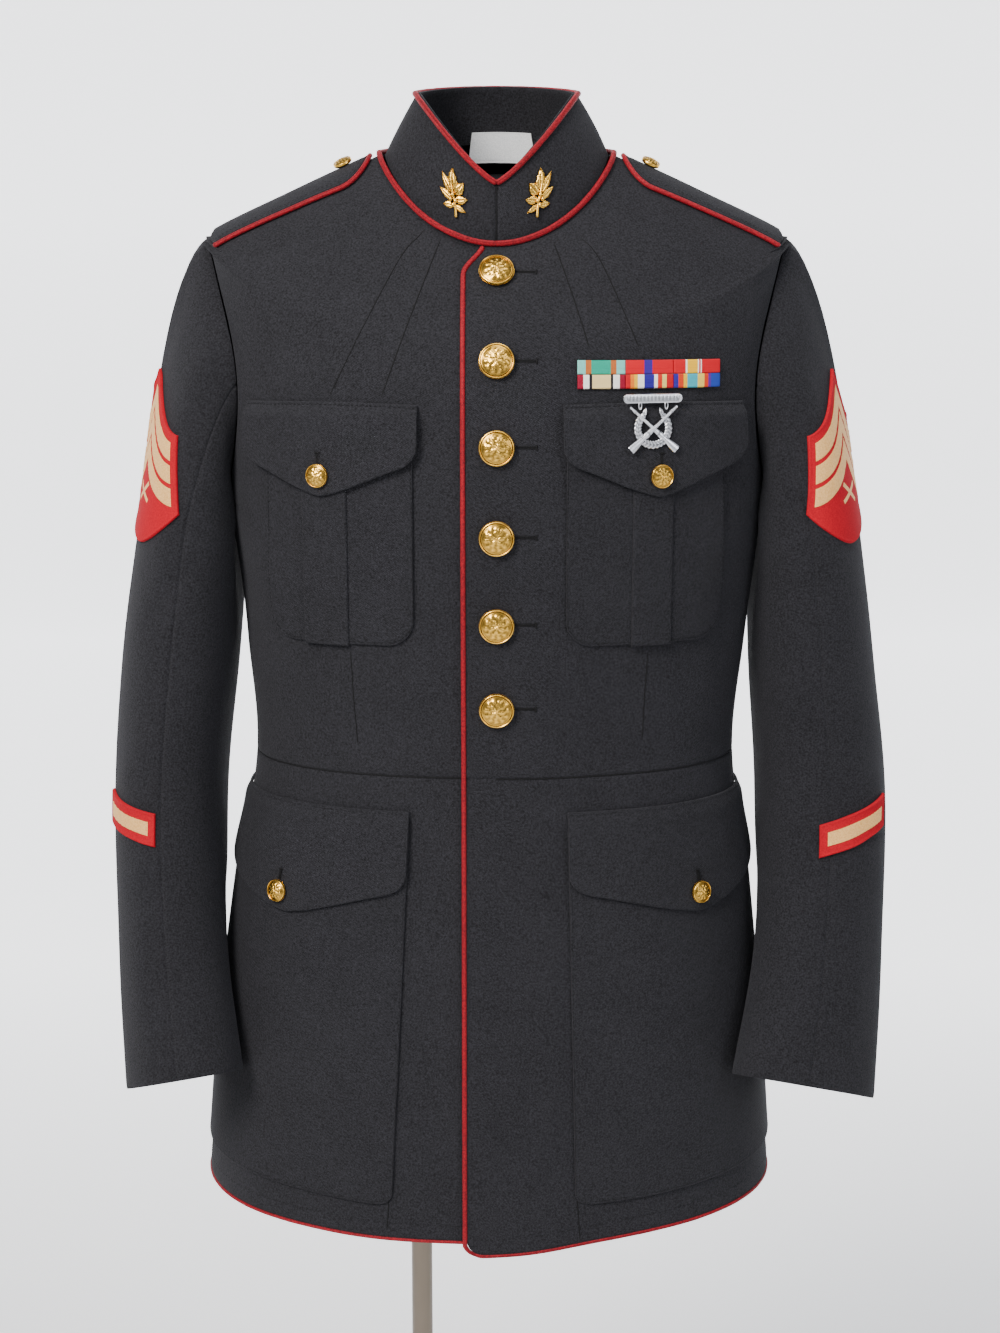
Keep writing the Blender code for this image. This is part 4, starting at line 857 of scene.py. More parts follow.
def cloth_material(finish: ClothFinish) -> bpy.types.Material:
    """Builds a cloth's material: mottled colour, twill lines along its threads, fuzz and sheen."""
    nodes = Finish(finish.name)
    place = nodes.add("TexCoord", out="Object")
    turned = nodes.add("Mapping", {
        "Vector": nodes.add("UVMap", uv_map="cloth"), "Rotation": (0.0, 0.0, finish.tilt),
    })
    lines = nodes.add("TexWave", {
        "Vector": turned, "Scale": math.pi / 10 / finish.pitch, "Distortion": 0.6, "Detail Scale": 1.5,
    }, out="Fac")
    mottle = nodes.add("TexNoise", {"Vector": place, "Scale": 28.0, "Detail": 5.0})
    grain = nodes.add("TexNoise", {"Vector": place, "Scale": 0.85 / finish.pitch, "Detail": 2.0})
    share = nodes.add("Math/MULTIPLY_ADD", mottle, 0.30, nodes.add("Math/MULTIPLY_ADD", grain, 2.2, -0.80))
    share = nodes.add("Math/MULTIPLY_ADD", lines, 0.18, share)
    share = nodes.add("Math/MINIMUM", nodes.add("Math/MAXIMUM", share, 0.0), 1.0)
    colours = {0: share, 6: linear(finish.dark), 7: linear(finish.light)}
    threads = nodes.add("Bump", {"Height": lines, "Distance": finish.weave_depth})
    nodes.shade(
        Base_Color=nodes.add("Mix", colours, out=2, data_type="RGBA"), Roughness=finish.roughness,
        Sheen_Weight=finish.sheen, Sheen_Roughness=0.45, Sheen_Tint=linear(finish.sheen_tint),
        Specular_IOR_Level=0.25,
        Normal=nodes.add("Bump", {"Height": grain, "Distance": finish.fuzz_depth, "Normal": threads}),
    )
    return nodes.material


def metal_material(finish: MetalFinish) -> bpy.types.Material:
    """Builds a metal with painted shade in its hollows, darker where the attribute "hollow" is high."""
    nodes = Finish(finish.name)
    place = nodes.add("TexCoord", out="Object")
    # Painted shade: the hollow colour is mixed in where the attribute is high, a little unevenly by the smear
    # noise
    hollow = nodes.add("Attribute", attribute_name="hollow", out="Fac")
    smear = nodes.add("TexNoise", {"Vector": place, "Scale": 90.0, "Detail": 4.0})
    dark = nodes.add("Math/MULTIPLY", hollow, nodes.add("Math/MULTIPLY_ADD", smear, 0.5, 0.6))
    colours = {0: dark, 6: linear(finish.colour), 7: linear(finish.hollow)}
    grain = nodes.add("TexNoise", {"Vector": place, "Scale": 1500.0, "Detail": 2.0})
    nodes.shade(
        Base_Color=nodes.add("Mix", colours, out=2, data_type="RGBA"), Metallic=1.0,
        Roughness=nodes.add("Math/MULTIPLY_ADD", smear, 0.16, finish.roughness - 0.06),
        Normal=nodes.add("Bump", {"Height": grain, "Distance": finish.grain_depth}),
    )
    return nodes.material


def patch_material(name: str, gold: Callable[[Nodes, object, object], object]) -> bpy.types.Material:
    """Matt red felt that carries silky gold braid wherever gold(nodes, across, height) is 1."""
    nodes = Finish(name)
    across = nodes.add("SeparateXYZ", nodes.add("UVMap", uv_map="cloth"))
    braid = gold(nodes, across, across.node.outputs[1])
    place = nodes.add("TexCoord", out="Object")
    fuzz = nodes.add("TexNoise", {"Vector": place, "Scale": 900.0, "Detail": 3.0})
    felt, silk = (
        nodes.add("Mix", {0: fuzz, 6: linear(dark), 7: linear(light)}, out=2, data_type="RGBA")
        for dark, light in (("#7a0414", "#c40a22"), ("#c07f34", "#f6cd8a"))
    )
    ribs = nodes.add("Math/SINE", nodes.add("Math/MULTIPLY", across, 2 * math.pi / BRAID_RIB))
    ribs = nodes.add("Bump", {"Height": nodes.add("Math/MULTIPLY", ribs, braid), "Distance": 0.00007})
    nodes.shade(
        Base_Color=nodes.add("Mix", {0: braid, 6: felt, 7: silk}, out=2, data_type="RGBA"),
        Roughness=nodes.add("Math/MULTIPLY_ADD", braid, -0.40, 0.92), Specular_IOR_Level=0.2,
        Normal=nodes.add("Bump", {"Height": fuzz, "Distance": 0.00012, "Normal": ribs}),
    )
    return nodes.material


def within(nodes: Nodes, value: object, limit: float) -> object:
    """1 where a value is nearer to 0 than a limit."""
    return nodes.add("Math/LESS_THAN", nodes.add("Math/ABSOLUTE", value), limit)


def box_share(nodes: Nodes, across: object, height: object, turn: float, size: tuple[float, float]) -> object:
    """1 inside a box round the origin.

    Args:
        nodes: the material's nodes.
        across: how far each place lies from the middle.
        height: how high it lies over the middle.
        turn: the turn of the box's long side.
        size: half its length and half its width.
    """
    c, s = math.cos(turn), math.sin(turn)
    along = nodes.add("Math/MULTIPLY_ADD", across, c, nodes.add("Math/MULTIPLY", height, s))
    aside = nodes.add("Math/MULTIPLY_ADD", height, c, nodes.add("Math/MULTIPLY", across, -s))
    return nodes.add("Math/MULTIPLY", within(nodes, along, size[0]), within(nodes, aside, size[1]))


def chevron_braid(nodes: Nodes, across: object, height: object) -> object:
    """Where a chevron patch is gold, for its material."""
    share = nodes.add("Math/DIVIDE", nodes.add("Math/ABSOLUTE", across), CHEVRON_HALF)
    rest = nodes.add("Math/MAXIMUM", nodes.add("Math/SUBTRACT", 1.0, share), 0.0)
    power = nodes.add("Math/POWER", rest, CHEVRON_TOP_POWER)
    rise = nodes.add("Math/MULTIPLY", power, CHEVRON_HEIGHTS[3] - CHEVRON_HEIGHTS[2])
    top = nodes.add("Math/ADD", rise, CHEVRON_HEIGHTS[2] - CHEVRON_FIRST)
    below = nodes.add("Math/MULTIPLY_ADD", rest, -CHEVRON_FIRST_MORE, nodes.add("Math/SUBTRACT", top, height))
    pitch = nodes.add("Math/MULTIPLY_ADD", rest, CHEVRON_MORE, CHEVRON_PITCH)
    row = nodes.add("Math/DIVIDE", below, pitch)
    braid = nodes.add("Math/LESS_THAN", nodes.add("Math/FRACT", row), CHEVRON_SHARE)
    for limit in (
        nodes.add("Math/GREATER_THAN", row, 0.0), nodes.add("Math/LESS_THAN", row, 3.0),
        within(nodes, across, CHEVRON_HALF - CHEVRON_BORDER),
    ):
        braid = nodes.add("Math/MULTIPLY", braid, limit)
    middle, half, thin = PATCH_RIFLES
    up = nodes.add("Math/SUBTRACT", height, middle)
    for turn in (0.55, -0.55):
        braid = nodes.add("Math/MAXIMUM", braid, box_share(nodes, across, up, turn, (half, thin)))
    return braid


def stripe_braid(side: Side) -> Callable[[Nodes, object, object], object]:
    """Where a service stripe is gold, for its material."""
    _, middle, fall = STRIPES[side]

    def gold(nodes: Nodes, across: object, height: object) -> object:
        """1 within the gold bar."""
        up = nodes.add("Math/SUBTRACT", nodes.add("Math/MULTIPLY_ADD", across, fall, height), middle)
        high = within(nodes, up, STRIPE_BAR[1])
        return nodes.add("Math/MULTIPLY", high, within(nodes, across, STRIPE_BAR[0]))

    return gold


def chevron_gold(reach: Array, z: Array) -> Array:
    """Where a chevron patch is gold, for its relief."""
    rest = np.maximum(1 - np.abs(reach) / CHEVRON_HALF, 0.0)
    rise = (CHEVRON_HEIGHTS[3] - CHEVRON_HEIGHTS[2]) * rest**CHEVRON_TOP_POWER
    below = CHEVRON_HEIGHTS[2] + rise - CHEVRON_FIRST - CHEVRON_FIRST_MORE * rest - z
    row = below / (CHEVRON_PITCH + CHEVRON_MORE * rest)
    inside = (row > 0) & (row < 3) & (np.mod(row, 1) < CHEVRON_SHARE)
    return (inside & (np.abs(reach) < CHEVRON_HALF - CHEVRON_BORDER)).astype(float)


def ribbon_material(name: str, pattern: Sequence[tuple[str, float]], width: float) -> bpy.types.Material:
    """A ribbon with upright stripes and fine ribs across it, which dull its shine."""
    nodes = Finish(name)
    across = nodes.add("SeparateXYZ", nodes.add("UVMap", uv_map="cloth"))
    stripes = nodes.add("ValToRGB", nodes.add("Math/DIVIDE", across, width))
    ramp = stripes.node.color_ramp
    ramp.interpolation = "CONSTANT"
    stops = ramp.elements
    stops[0].position, stops[0].color = 0.0, linear(pattern[0][0])
    stops[1].position, stops[1].color = pattern[0][1], linear(pattern[1][0])
    for (_, start), (colour, _) in zip(pattern[1:], pattern[2:]):
        stops.new(start).color = linear(colour)
    height = across.node.outputs[1]
    ribs = nodes.add("Math/SINE", nodes.add("Math/MULTIPLY", height, 2 * math.pi / RIBBON_RIB))
    nodes.shade(
        Base_Color=stripes, Roughness=0.70, Specular_IOR_Level=0.2,
        Normal=nodes.add("Bump", {"Height": ribs, "Distance": 0.00006}),
    )
    return nodes.material


def add_mesh(
    name: str,
    material: bpy.types.Material,
    points: Array,
    faces: Array | list[list[int]],
    uv: Array | None = None,
    sharp: float = 40.0,
) -> bpy.types.Object:
    """One mesh object at the origin.

    Args:
        name: the piece's name.
        material: its finish.
        points: places in metres.
        faces: point numbers of each face, in order round its outer side.
        uv: a place on the flat cloth for each point, in metres.
        sharp: edges that turn more than this many degrees stay sharp.

    Returns:
        The new object, linked to the scene.
    """
    mesh = bpy.data.meshes.new(name)
    rows = faces.tolist() if isinstance(faces, np.ndarray) else faces
    mesh.from_pydata(np.asarray(points, float).reshape(-1, 3).tolist(), [], rows)
    if uv is not None:
        layer = mesh.uv_layers.new(name="cloth")
        index = np.empty(len(mesh.loops), np.int32)
        mesh.loops.foreach_get("vertex_index", index)
        layer.data.foreach_set("uv", np.asarray(uv, np.float32).reshape(-1, 2)[index].ravel())
    mesh.shade_smooth()
    mesh.set_sharp_from_angle(angle=math.radians(sharp))
    mesh.materials.append(material)
    thing = bpy.data.objects.new(name, mesh)
    bpy.context.scene.collection.objects.link(thing)
    return thing


def grid_quads(rows: int, columns: int, wrap: bool = False) -> Array:
    """Faces of a grid of points, joined to itself along its columns if wrap is set."""
    r = np.arange(rows - 1)[:, None]
    c = np.arange(columns if wrap else columns - 1)[None, :]
    after = (c + 1) % columns
    corners = [r * columns + c, r * columns + after, (r + 1) * columns + after, (r + 1) * columns + c]
    return np.stack([x.ravel() for x in np.broadcast_arrays(*corners)], axis=-1)


def lengths(grid: Array, axis: int) -> Array:
    """Length travelled over the cloth along one axis of a grid of points."""
    steps = np.linalg.norm(np.diff(grid, axis=axis), axis=-1)
    start = np.zeros_like(np.take(steps, [0], axis=axis))
    return np.cumsum(np.concatenate([start, steps], axis=axis), axis=axis)


def edge_distance(grid: Array, sides: str = "udlr") -> Array:
    """Distance from each point of a grid to its nearest edge, along rows and columns."""
    down, along = lengths(grid, 0), lengths(grid, 1)
    found = {"u": down, "d": down[-1:] - down, "l": along, "r": along[:, -1:] - along}
    return np.minimum.reduce([found[s] for s in sides])


def slab(name: str, material: bpy.types.Material, outer: Array, inner: Array) -> bpy.types.Object:
    """A closed wall of cloth between two grids of points."""
    rows, columns = outer.shape[:2]
    half = rows * columns
    quads = grid_quads(rows, columns)
    number = np.arange(half).reshape(rows, columns)
    rim = np.concatenate([number[0], number[1:, -1], number[-1, -2::-1], number[-2:0:-1, 0]])
    after = np.roll(rim, -1)
    edge = np.stack([after, rim, half + rim, half + after], axis=-1)
    faces = np.concatenate([quads, half + quads[:, ::-1], edge])
    c = outer[rows // 2, columns // 2]
    a = outer[rows // 2, columns // 2 + 1] - c
    b = outer[rows // 2 + 1, columns // 2] - c
    if np.dot(np.cross(a, b), c - inner[rows // 2, columns // 2]) < 0:
        faces = faces[:, ::-1]
    uv = np.stack([lengths(outer, 1), lengths(outer, 0)], axis=-1).reshape(-1, 2)
    points = np.concatenate([outer.reshape(-1, 3), inner.reshape(-1, 3)])
    return add_mesh(name, material, points, faces, uv=np.concatenate([uv, uv]), sharp=60.0)


def tube(
    name: str, material: bpy.types.Material, path: Array, radius: Array | float, around: int = 14,
    closed: bool = False,
) -> bpy.types.Object:
    """A round cord along a path, with rounded ends.

    Args:
        name: the piece's name.
        material: its finish.
        path: the cord's middle line.
        radius: of the whole cord or at each place.
        around: points of each ring.
        closed: whether the path ends where it starts.

    Returns:
        The new object.
    """
    path = np.asarray(path, float)
    radius = np.broadcast_to(np.asarray(radius, float), (len(path),)).copy()
    if not closed:
        ends = [(0.0, 0.0), (0.35, 0.75), (0.75, 0.97)]
        first, last = path[0] - path[1], path[-1] - path[-2]
        first, last = first / np.linalg.norm(first), last / np.linalg.norm(last)
        head = [path[0] + first * radius[0] * 0.9 * (1 - a) for a, _ in ends]
        tail = [path[-1] + last * radius[-1] * 0.9 * (1 - a) for a, _ in reversed(ends)]
        thin = np.array([max(b, 0.02) for _, b in ends])
        radius = np.concatenate([radius[0] * thin, radius, radius[-1] * thin[::-1]])
        path = np.vstack([head, path, tail])
    tangent = np.gradient(path, axis=0)
    if closed:
        tangent = np.roll(path, -1, axis=0) - np.roll(path, 1, axis=0)
    tangent /= np.linalg.norm(tangent, axis=1, keepdims=True)
    side = np.cross(tangent[0], (0.0, 0.0, 1.0) if abs(tangent[0][2]) < 0.9 else (1.0, 0.0, 0.0))
    frames = []
    for direction in tangent:
        side = side - direction * np.dot(side, direction)
        side = side / np.linalg.norm(side)
        frames.append((side, np.cross(direction, side)))
    turns = circle(around)
    rings = np.array([
        [p + r * (a * math.cos(q) + b * math.sin(q)) for q in turns]
        for p, r, (a, b) in zip(path, radius, frames)
    ])
    quads = grid_quads(len(path), around, wrap=True)
    faces = quads.tolist()
    travelled = np.concatenate([[0.0], np.cumsum(np.linalg.norm(np.diff(path, axis=0), axis=1))])
    uv = np.stack(np.broadcast_arrays(travelled[:, None], turns[None, :] * radius.mean()), axis=-1)
    if closed:
        last = (len(path) - 1) * around
        faces += [[last + k, last + (k + 1) % around, (k + 1) % around, k] for k in range(around)]
    else:
        faces += [list(range(around))[::-1], [(len(path) - 1) * around + k for k in range(around)]]
    return face_out(add_mesh(name, material, rings.reshape(-1, 3), faces, uv=uv.reshape(-1, 2), sharp=70.0))


def face_out(piece: bpy.types.Object) -> bpy.types.Object:
    """Turns the faces of a closed mesh outwards if the volume inside it reads as negative."""
    mesh = piece.data
    mesh.calc_loop_triangles()
    points = np.empty(len(mesh.vertices) * 3)
    mesh.vertices.foreach_get("co", points)
    index = np.empty(len(mesh.loop_triangles) * 3, np.int32)
    mesh.loop_triangles.foreach_get("vertices", index)
    corners = points.reshape(-1, 3)[index].reshape(-1, 3, 3)
    if np.einsum("ij,ij->i", corners[:, 0], np.cross(corners[:, 1], corners[:, 2])).sum() < 0:
        mesh.flip_normals()
    return piece


def closed_rings(count: int, around: int) -> list[list[int]]:
    """Faces of a stack of rings, closed by fans from two points that come after it."""
    low, last = count * around, (count - 1) * around
    faces = grid_quads(count, around, wrap=True).tolist()
    faces += [[low, (k + 1) % around, k] for k in range(around)]
    return faces + [[low + 1, last + k, last + (k + 1) % around] for k in range(around)]


def mark_hollows(piece: bpy.types.Object, share: Array | float) -> bpy.types.Object:
    """Writes how much painted shade a metal carries, 0 to 1. A slab's grid of values goes on both its faces.
    """
    share = np.resize(np.clip(share, 0.0, 1.0), len(piece.data.vertices))
    values = piece.data.attributes.new("hollow", "FLOAT", "POINT")
    values.data.foreach_set("value", share.astype(np.float32))
    return piece


def rolled(distance: Array, wall: float, stitched: bool = True, roll: float = 0.0013) -> Array:
    """Height of a patch above its underside: rounded over at its edge, sunk along its stitches."""
    inside = np.clip(distance / roll, 0.0, 1.0)
    height = wall * (0.30 + 0.70 * np.sqrt(1 - (1 - inside) ** 2))
    if stitched:
        height = height - 0.00035 * bell(distance, 0.0006, STITCH_IN)
    return height


def seam_dip(distance: Array) -> Array:
    """How far a panel's edge turns in at a seam."""
    return 0.0009 * np.exp(-((distance / 0.0014) ** 1.5))


@dataclass
class Workshop:
    """The surfaces, the finishes and the runs of stitches gathered so far."""

    coat: CoatBody = field(default_factory=CoatBody)
    collar: Collar = field(default_factory=Collar)
    finishes: dict[str, bpy.types.Material] = field(default_factory=dict)
    threads: dict[str, list[tuple[Array, Array]]] = field(default_factory=dict)

    def __post_init__(self) -> None:
        """Makes both sleeves' surfaces and the materials that several pieces share."""
        self.sleeves = {side: Sleeve(self.coat, side) for side in Side}
        for finish in (WOOL, CORD, JERSEY, LABEL, THREAD_AND_SHADE):
            self.finishes[finish.name] = cloth_material(finish)
        for metal in (GILT, SILVER, STEEL):
            self.finishes[metal.name] = metal_material(metal)
        self.finishes["chevron"] = patch_material("chevron_felt", chevron_braid)
        for side in Side:
            felt = patch_material(f"stripe_felt_{side.label}", stripe_braid(side))
            self.finishes[f"stripe_{side.label}"] = felt

    def finish_piece(self, piece: bpy.types.Object, slot: str, *nodes: str) -> bpy.types.Object:
        """Seats a piece on the one body and says which solids it stands for."""
        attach(piece, "root")
        if nodes:
            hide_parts(*nodes)
        LOG.info("piece %s, slot %s, for %s", piece.name, slot, ", ".join(nodes) or "no solid of its own")
        return piece

    def cloth(
        self, name: str, outer: Array, inner: Array, held: str = "hung", slot: str = "wool",
        finish: str = "wool", rests_on: Sequence[str] = ("dress_form",), node: str | None = None,
    ) -> bpy.types.Object:
        """A piece of cloth that stands for the solid of the same name.

        Args:
            name: the piece's name, with "_cloth" at its end.
            outer: grid of points of its outer face.
            inner: the same of its inner face.
            slot: the material slot that it belongs to.
            finish: name of its material.
            rests_on: the pieces that it lies on.
            node: its solid, if the name differs.

        Returns:
            The new object.
        """
        piece = slab(name, self.finishes[finish], outer, inner)
        self.finish_piece(piece, slot, node or name.removesuffix("_cloth"))
        self.declare_sheet(piece, outer, inner, held, rests_on)
        return piece

    def declare_sheet(
        self, piece: bpy.types.Object, outer: Array, inner: Array, held: str, rests_on: Sequence[str],
    ) -> None:
        """Works out the flat width and length of a piece of cloth, but neither keeps nor states them.

        Args:
            piece: the cloth; not used.
            outer: grid of points of its outer face.
            inner: the same of its inner face.
            held: how it is held; not used.
            rests_on: the pieces that it lies on; not used.
        """
        middle = (outer + inner) / 2
        level = middle * (1.0, 1.0, 0.0)
        width, length = float(lengths(level, 1)[:, -1].max()), float(lengths(middle, 0)[-1].max())

    def ribbon_finish(
        self, number: int, pattern: Sequence[tuple[str, float]], width: float,
    ) -> bpy.types.Material:
        """The material of one ribbon."""
        name = f"ribbon_{number + 1}"
        self.finishes[name] = ribbon_material(name, pattern, width)
        return self.finishes[name]

    def sew(self, group: str, path: Array, spacing: float, lie: Lie, normal: Array | None = None) -> None:
        """Adds a row of stitches along a path, to be made with the rest of its group.

        Args:
            group: which run of threads it belongs to.
            path: places along the seam.
            spacing: distance from stitch to stitch in metres.
            lie: whether a stitch lies along the path or across it.
            normal: the cloth's normal at each place, needed across the path.
        """
        travelled = np.concatenate([[0.0], np.cumsum(np.linalg.norm(np.diff(path, axis=0), axis=1))])
        count = max(2, int(travelled[-1] / spacing))
        where = (np.arange(count) + 0.5) * travelled[-1] / count
        places, reach = path_at(path, travelled, where), 0.3 * spacing
        run = path_at(path, travelled, where + reach) - path_at(path, travelled, where - reach)
        if lie is Lie.ACROSS and normal is not None:
            run = np.cross(run, path_at(normal, travelled, where))
        run = run / np.maximum(np.linalg.norm(run, axis=1, keepdims=True), 1e-9)
        self.threads.setdefault(group, []).append((places, run))


@dataclass
class Panels:
    """The coat's cut pieces: fronts, skirts, backs, sleeves and collar."""

    shop: Workshop
    hem_turn_up: float = 0.0120

    def build(self) -> None:
        """Makes the cut pieces of both sides, then the collar."""
        for side in Side:
            self.front(side)
            self.skirt(side)
            self.back(side)
            self.sleeve(side)
        self.standing_collar()

    def rings(self, start: float, stop: float, count: int, height: float) -> Array:
        """Ring numbers between two rings, close together at both ends."""
        return start + (stop - start) * edged(count, height)

    def front(self, side: Side) -> None:
        """A front above the waist seam. The left one laps over the right one."""
        coat, sign = self.shop.coat, side.value
        rings = self.rings(WAIST, NECK, 112, 0.45)[:, None]
        share = edged(64, 0.26)[None, :]
        edge = lap_edge(rings) if side is Side.LEFT else UNDER_EDGE * np.ones_like(rings)
        start = sign * coat.angle_of(edge, rings)
        stop = coat.armhole_angle(rings, ARMHOLE_FRONT)
        phi = sign * (start + (stop - start) * share)
        base = coat.base(phi, rings + 0 * phi)
        lift = lap_lift(base[..., 0]) if side is Side.LEFT else 0.0 * base[..., 0]
        dip = seam_dip(edge_distance(base, "udr")) + 0.6 * seam_dip(edge_distance(base, "l"))
        outer = coat.at(phi, rings, lift - dip)
        self.shop.cloth(f"front_{side.label}_cloth", outer, coat.at(phi, rings, lift - WALL))

    def skirt(self, side: Side) -> None:
        """A front below the waist seam."""
        coat, sign = self.shop.coat, side.value
        share = edged(66, 0.28)[None, :]
        edge = LAP_EDGE if side is Side.LEFT else UNDER_EDGE
        bottom = np.zeros((1, share.shape[1]))
        for _ in range(4):
            start = sign * coat.angle_of(edge, bottom)
            phi = sign * (start + (math.pi / 2 - start) * share)
            bottom = hem_ring(coat.base(phi, bottom)[..., 0], side is Side.LEFT)
        rings = bottom + (WAIST - bottom) * edged(72, 0.36)[:, None]
        start = sign * coat.angle_of(edge, rings)
        phi = sign * (start + (math.pi / 2 - start) * share)
        base = coat.base(phi, rings)
        lift = lap_lift(base[..., 0]) if side is Side.LEFT else 0.0 * base[..., 0]
        dip = seam_dip(edge_distance(base, "dr")) + 0.6 * seam_dip(edge_distance(base, "ul"))
        outer = coat.at(phi, rings, lift - dip)
        self.shop.cloth(f"skirt_{side.label}_cloth", outer, coat.at(phi, rings, lift - WALL))
        hem = coat.at(phi, rings, lift + 0.0001)
        height = lengths(base, 0)
        inside = range(4, hem.shape[1] - 4)
        line = np.array([path_at(hem[:, c], height[:, c], self.hem_turn_up) for c in inside])
        self.shop.sew(f"hem_stitches_{side.label}", line, HEM_STITCH, Lie.ALONG)

    def back(self, side: Side) -> None:
        """A back above the waist seam and one below it, with a seam down the middle."""
        coat, sign = self.shop.coat, side.value
        cuts = (("back", WAIST, NECK, 84, 0.45, "udlr"), ("back_skirt", HEM, WAIST, 68, 0.35, "dlr"))
        for piece, start, stop, count, height, seams in cuts:
            rings = self.rings(start, stop, count, height)[:, None]
            edge = math.pi - coat.armhole_angle(rings, ARMHOLE_BACK)
            phi = sign * (math.pi + (edge - math.pi) * edged(48, 0.24)[None, :])
            base = coat.base(phi, rings)
            outer = coat.at(phi, rings, -seam_dip(edge_distance(base, seams)))
            self.shop.cloth(f"{piece}_{side.label}_cloth", outer, coat.at(phi, rings, -WALL))
        inside = phi[0, 4:-4]
        ring = coat.ring_of(inside, np.full(inside.shape, SECTIONS[HEM].back + self.hem_turn_up))
        self.shop.sew(f"hem_stitches_{side.label}", coat.at(inside, ring, 0.0001), HEM_STITCH, Lie.ALONG)

    def sleeve(self, side: Side) -> None:
        """A top sleeve and an under sleeve."""
        sleeve = self.shop.sleeves[side]
        rows = np.concatenate([crowd_ends(26)[:-1], np.linspace(1.0, 5.0, 92)])
        cuff = 5.0 - np.array(EDGE_STEPS[4:0:-1]) / 0.105
        rows = np.sort(np.concatenate([rows, cuff]))[:, None]
        top = math.pi * (edged(40, 0.20) - 0.5)
        for piece, theta in (("top_sleeve", top), ("under_sleeve", math.pi + top)):
            theta = theta[None, :]
            base = sleeve.base(theta, rows)
            dip = seam_dip(edge_distance(base, "lr")) + 0.7 * seam_dip(edge_distance(base, "ud"))
            outer = sleeve.at(theta, rows, -dip)
            inner = sleeve.at(theta, rows, -WALL)
            self.shop.cloth(f"{piece}_{side.label}_cloth", outer, inner)

    def standing_collar(self) -> None:
        """The standing collar, hooked edge to edge at the front."""
        collar = self.shop.collar
        psi = 2 * math.pi * edged(150, 0.43)[None, :]
        rows = edged(26, 0.05)[:, None]
        base = collar.base(psi, rows)
        dip = 0.9 * seam_dip(edge_distance(base, "lrd"))
        ease = 0.00035 * np.sin(9 * psi + 0.4) * np.sin(math.pi * rows)
        outer, inner = collar.at(psi, rows, ease - dip), collar.at(psi, rows, ease * 0.6 - COLLAR_WALL + dip)
        self.shop.cloth("collar_cloth", outer, inner)


@dataclass
class Cords:
    """The red cords along the collar, the front edge and the hems."""

    shop: Workshop
    edge_cord_top: float = NECK - 0.12
    neck_cord: float = 0.0021
    hem_cord: float = 0.0013
    collar_cord_end: float = math.radians(1.2)
    collar_cord_height: float = 0.955

    def build(self) -> None:
        """Lays every cord and bends the front edge's one into the hem's."""
        self.collar_cords()
        above = self.front_edge()
        below = self.hem(Side.LEFT)
        self.hem(Side.RIGHT)
        middle = (above + below) / 2
        corner = 0.42 * np.array((above[0], middle[1], below[2])) + 0.58 * middle
        u = np.linspace(0, 1, 24)[:, None]
        bend = (1 - u) ** 2 * above + 2 * u * (1 - u) * corner + u**2 * below
        radius = np.linspace(EDGE_CORD, self.hem_cord, 24)
        piece = tube("hem_corner_piping", self.shop.finishes["cord"], bend, radius)
        self.shop.finish_piece(piece, "red_cord")

    def place(self, name: str, path: Array, radius: float, closed: bool = False) -> None:
        """A cord whose thickness varies a little along its length.

        Args:
            name: the node that it stands for.
            path: its middle line.
            radius: its mean radius.
            closed: whether the path ends where it starts.
        """
        number = np.arange(len(path))
        uneven = radius * (1 + 0.035 * np.sin(number * 0.61) * np.sin(number * 0.17 + 0.8))
        piece = tube(f"{name}_piping", self.shop.finishes["cord"], path, uneven, 14, closed)
        self.shop.finish_piece(piece, "red_cord", name)

    def collar_cords(self) -> None:
        """The cord along the collar's top edge and the one along the neck seam."""
        coat, collar = self.shop.coat, self.shop.collar
        around = np.linspace(self.collar_cord_end, 2 * math.pi - self.collar_cord_end, 260)
        top = collar.at(around, np.full(260, self.collar_cord_height), self.neck_cord * 0.55)
        self.place("collar_top_cord", top, self.neck_cord)
        phi = np.linspace(0.0, 2 * math.pi, 321)[:-1]
        seam = coat.base(phi, np.full(320, float(NECK)))
        fade = 1 - smoothstep((-seam[:, 0] - 0.026) / 0.034)
        lift = np.where(seam[:, 0] > 0, lap_lift(seam[:, 0]), LAP_LIFT * fade) * (np.cos(phi) > 0)
        path = coat.at(phi, np.full(320, NECK - 0.02), lift + self.neck_cord * 0.75)
        self.place("neck_seam_cord", path, self.neck_cord, closed=True)

    def front_edge(self) -> Array:
        """The cord down the overlapping edge. Returns its lowest point."""
        coat = self.shop.coat
        rings = np.linspace(HEM - 0.02, self.edge_cord_top, 360)
        phi = coat.angle_of(lap_edge(rings), rings)
        path = coat.at(phi, rings, EDGE_CORD + 2 * GAP)
        aside = np.cross(np.gradient(path, axis=0), coat.normal(phi, rings))
        aside *= -np.sign(aside[:, :1]) / np.linalg.norm(aside, axis=1, keepdims=True)
        path = path + aside * EDGE_CORD * 0.85
        self.place("front_edge_cord", path, EDGE_CORD)
        return path[0]

    def hem(self, side: Side) -> Array:
        """The cord under one side's hem. Returns its first point at the front."""
        coat = self.shop.coat
        pitch = SECTIONS[LOW].front - SECTIONS[HEM].front
        if side is Side.LEFT:
            first = coat.angle_of(LAP_EDGE + 0.006, 0.0)
        else:
            first = -coat.angle_of(UNDER_EDGE, 0.0) + 0.02
        angles = side.value * np.linspace(float(first), math.pi - 0.004, 240)
        x = coat.base(angles, np.zeros(240))[:, 0]
        in_front = np.cos(angles) > 0
        ring = np.where(in_front, hem_ring(x, side is Side.LEFT), 0.0) - self.hem_cord / pitch
        lift = (lap_lift(x) * in_front if side is Side.LEFT else 0.0) - WALL * 0.35
        path = coat.at(angles, ring, lift)
        self.place(f"hem_cord_{side.label}", path, self.hem_cord)
        return path[0]


def drawn_down(lift: float, below_top: Array) -> Array:
    """The lift of a flap that is sewn down along its top edge."""
    return PATCH_LIFT + (lift - PATCH_LIFT) * smoothstep(below_top / 0.011)


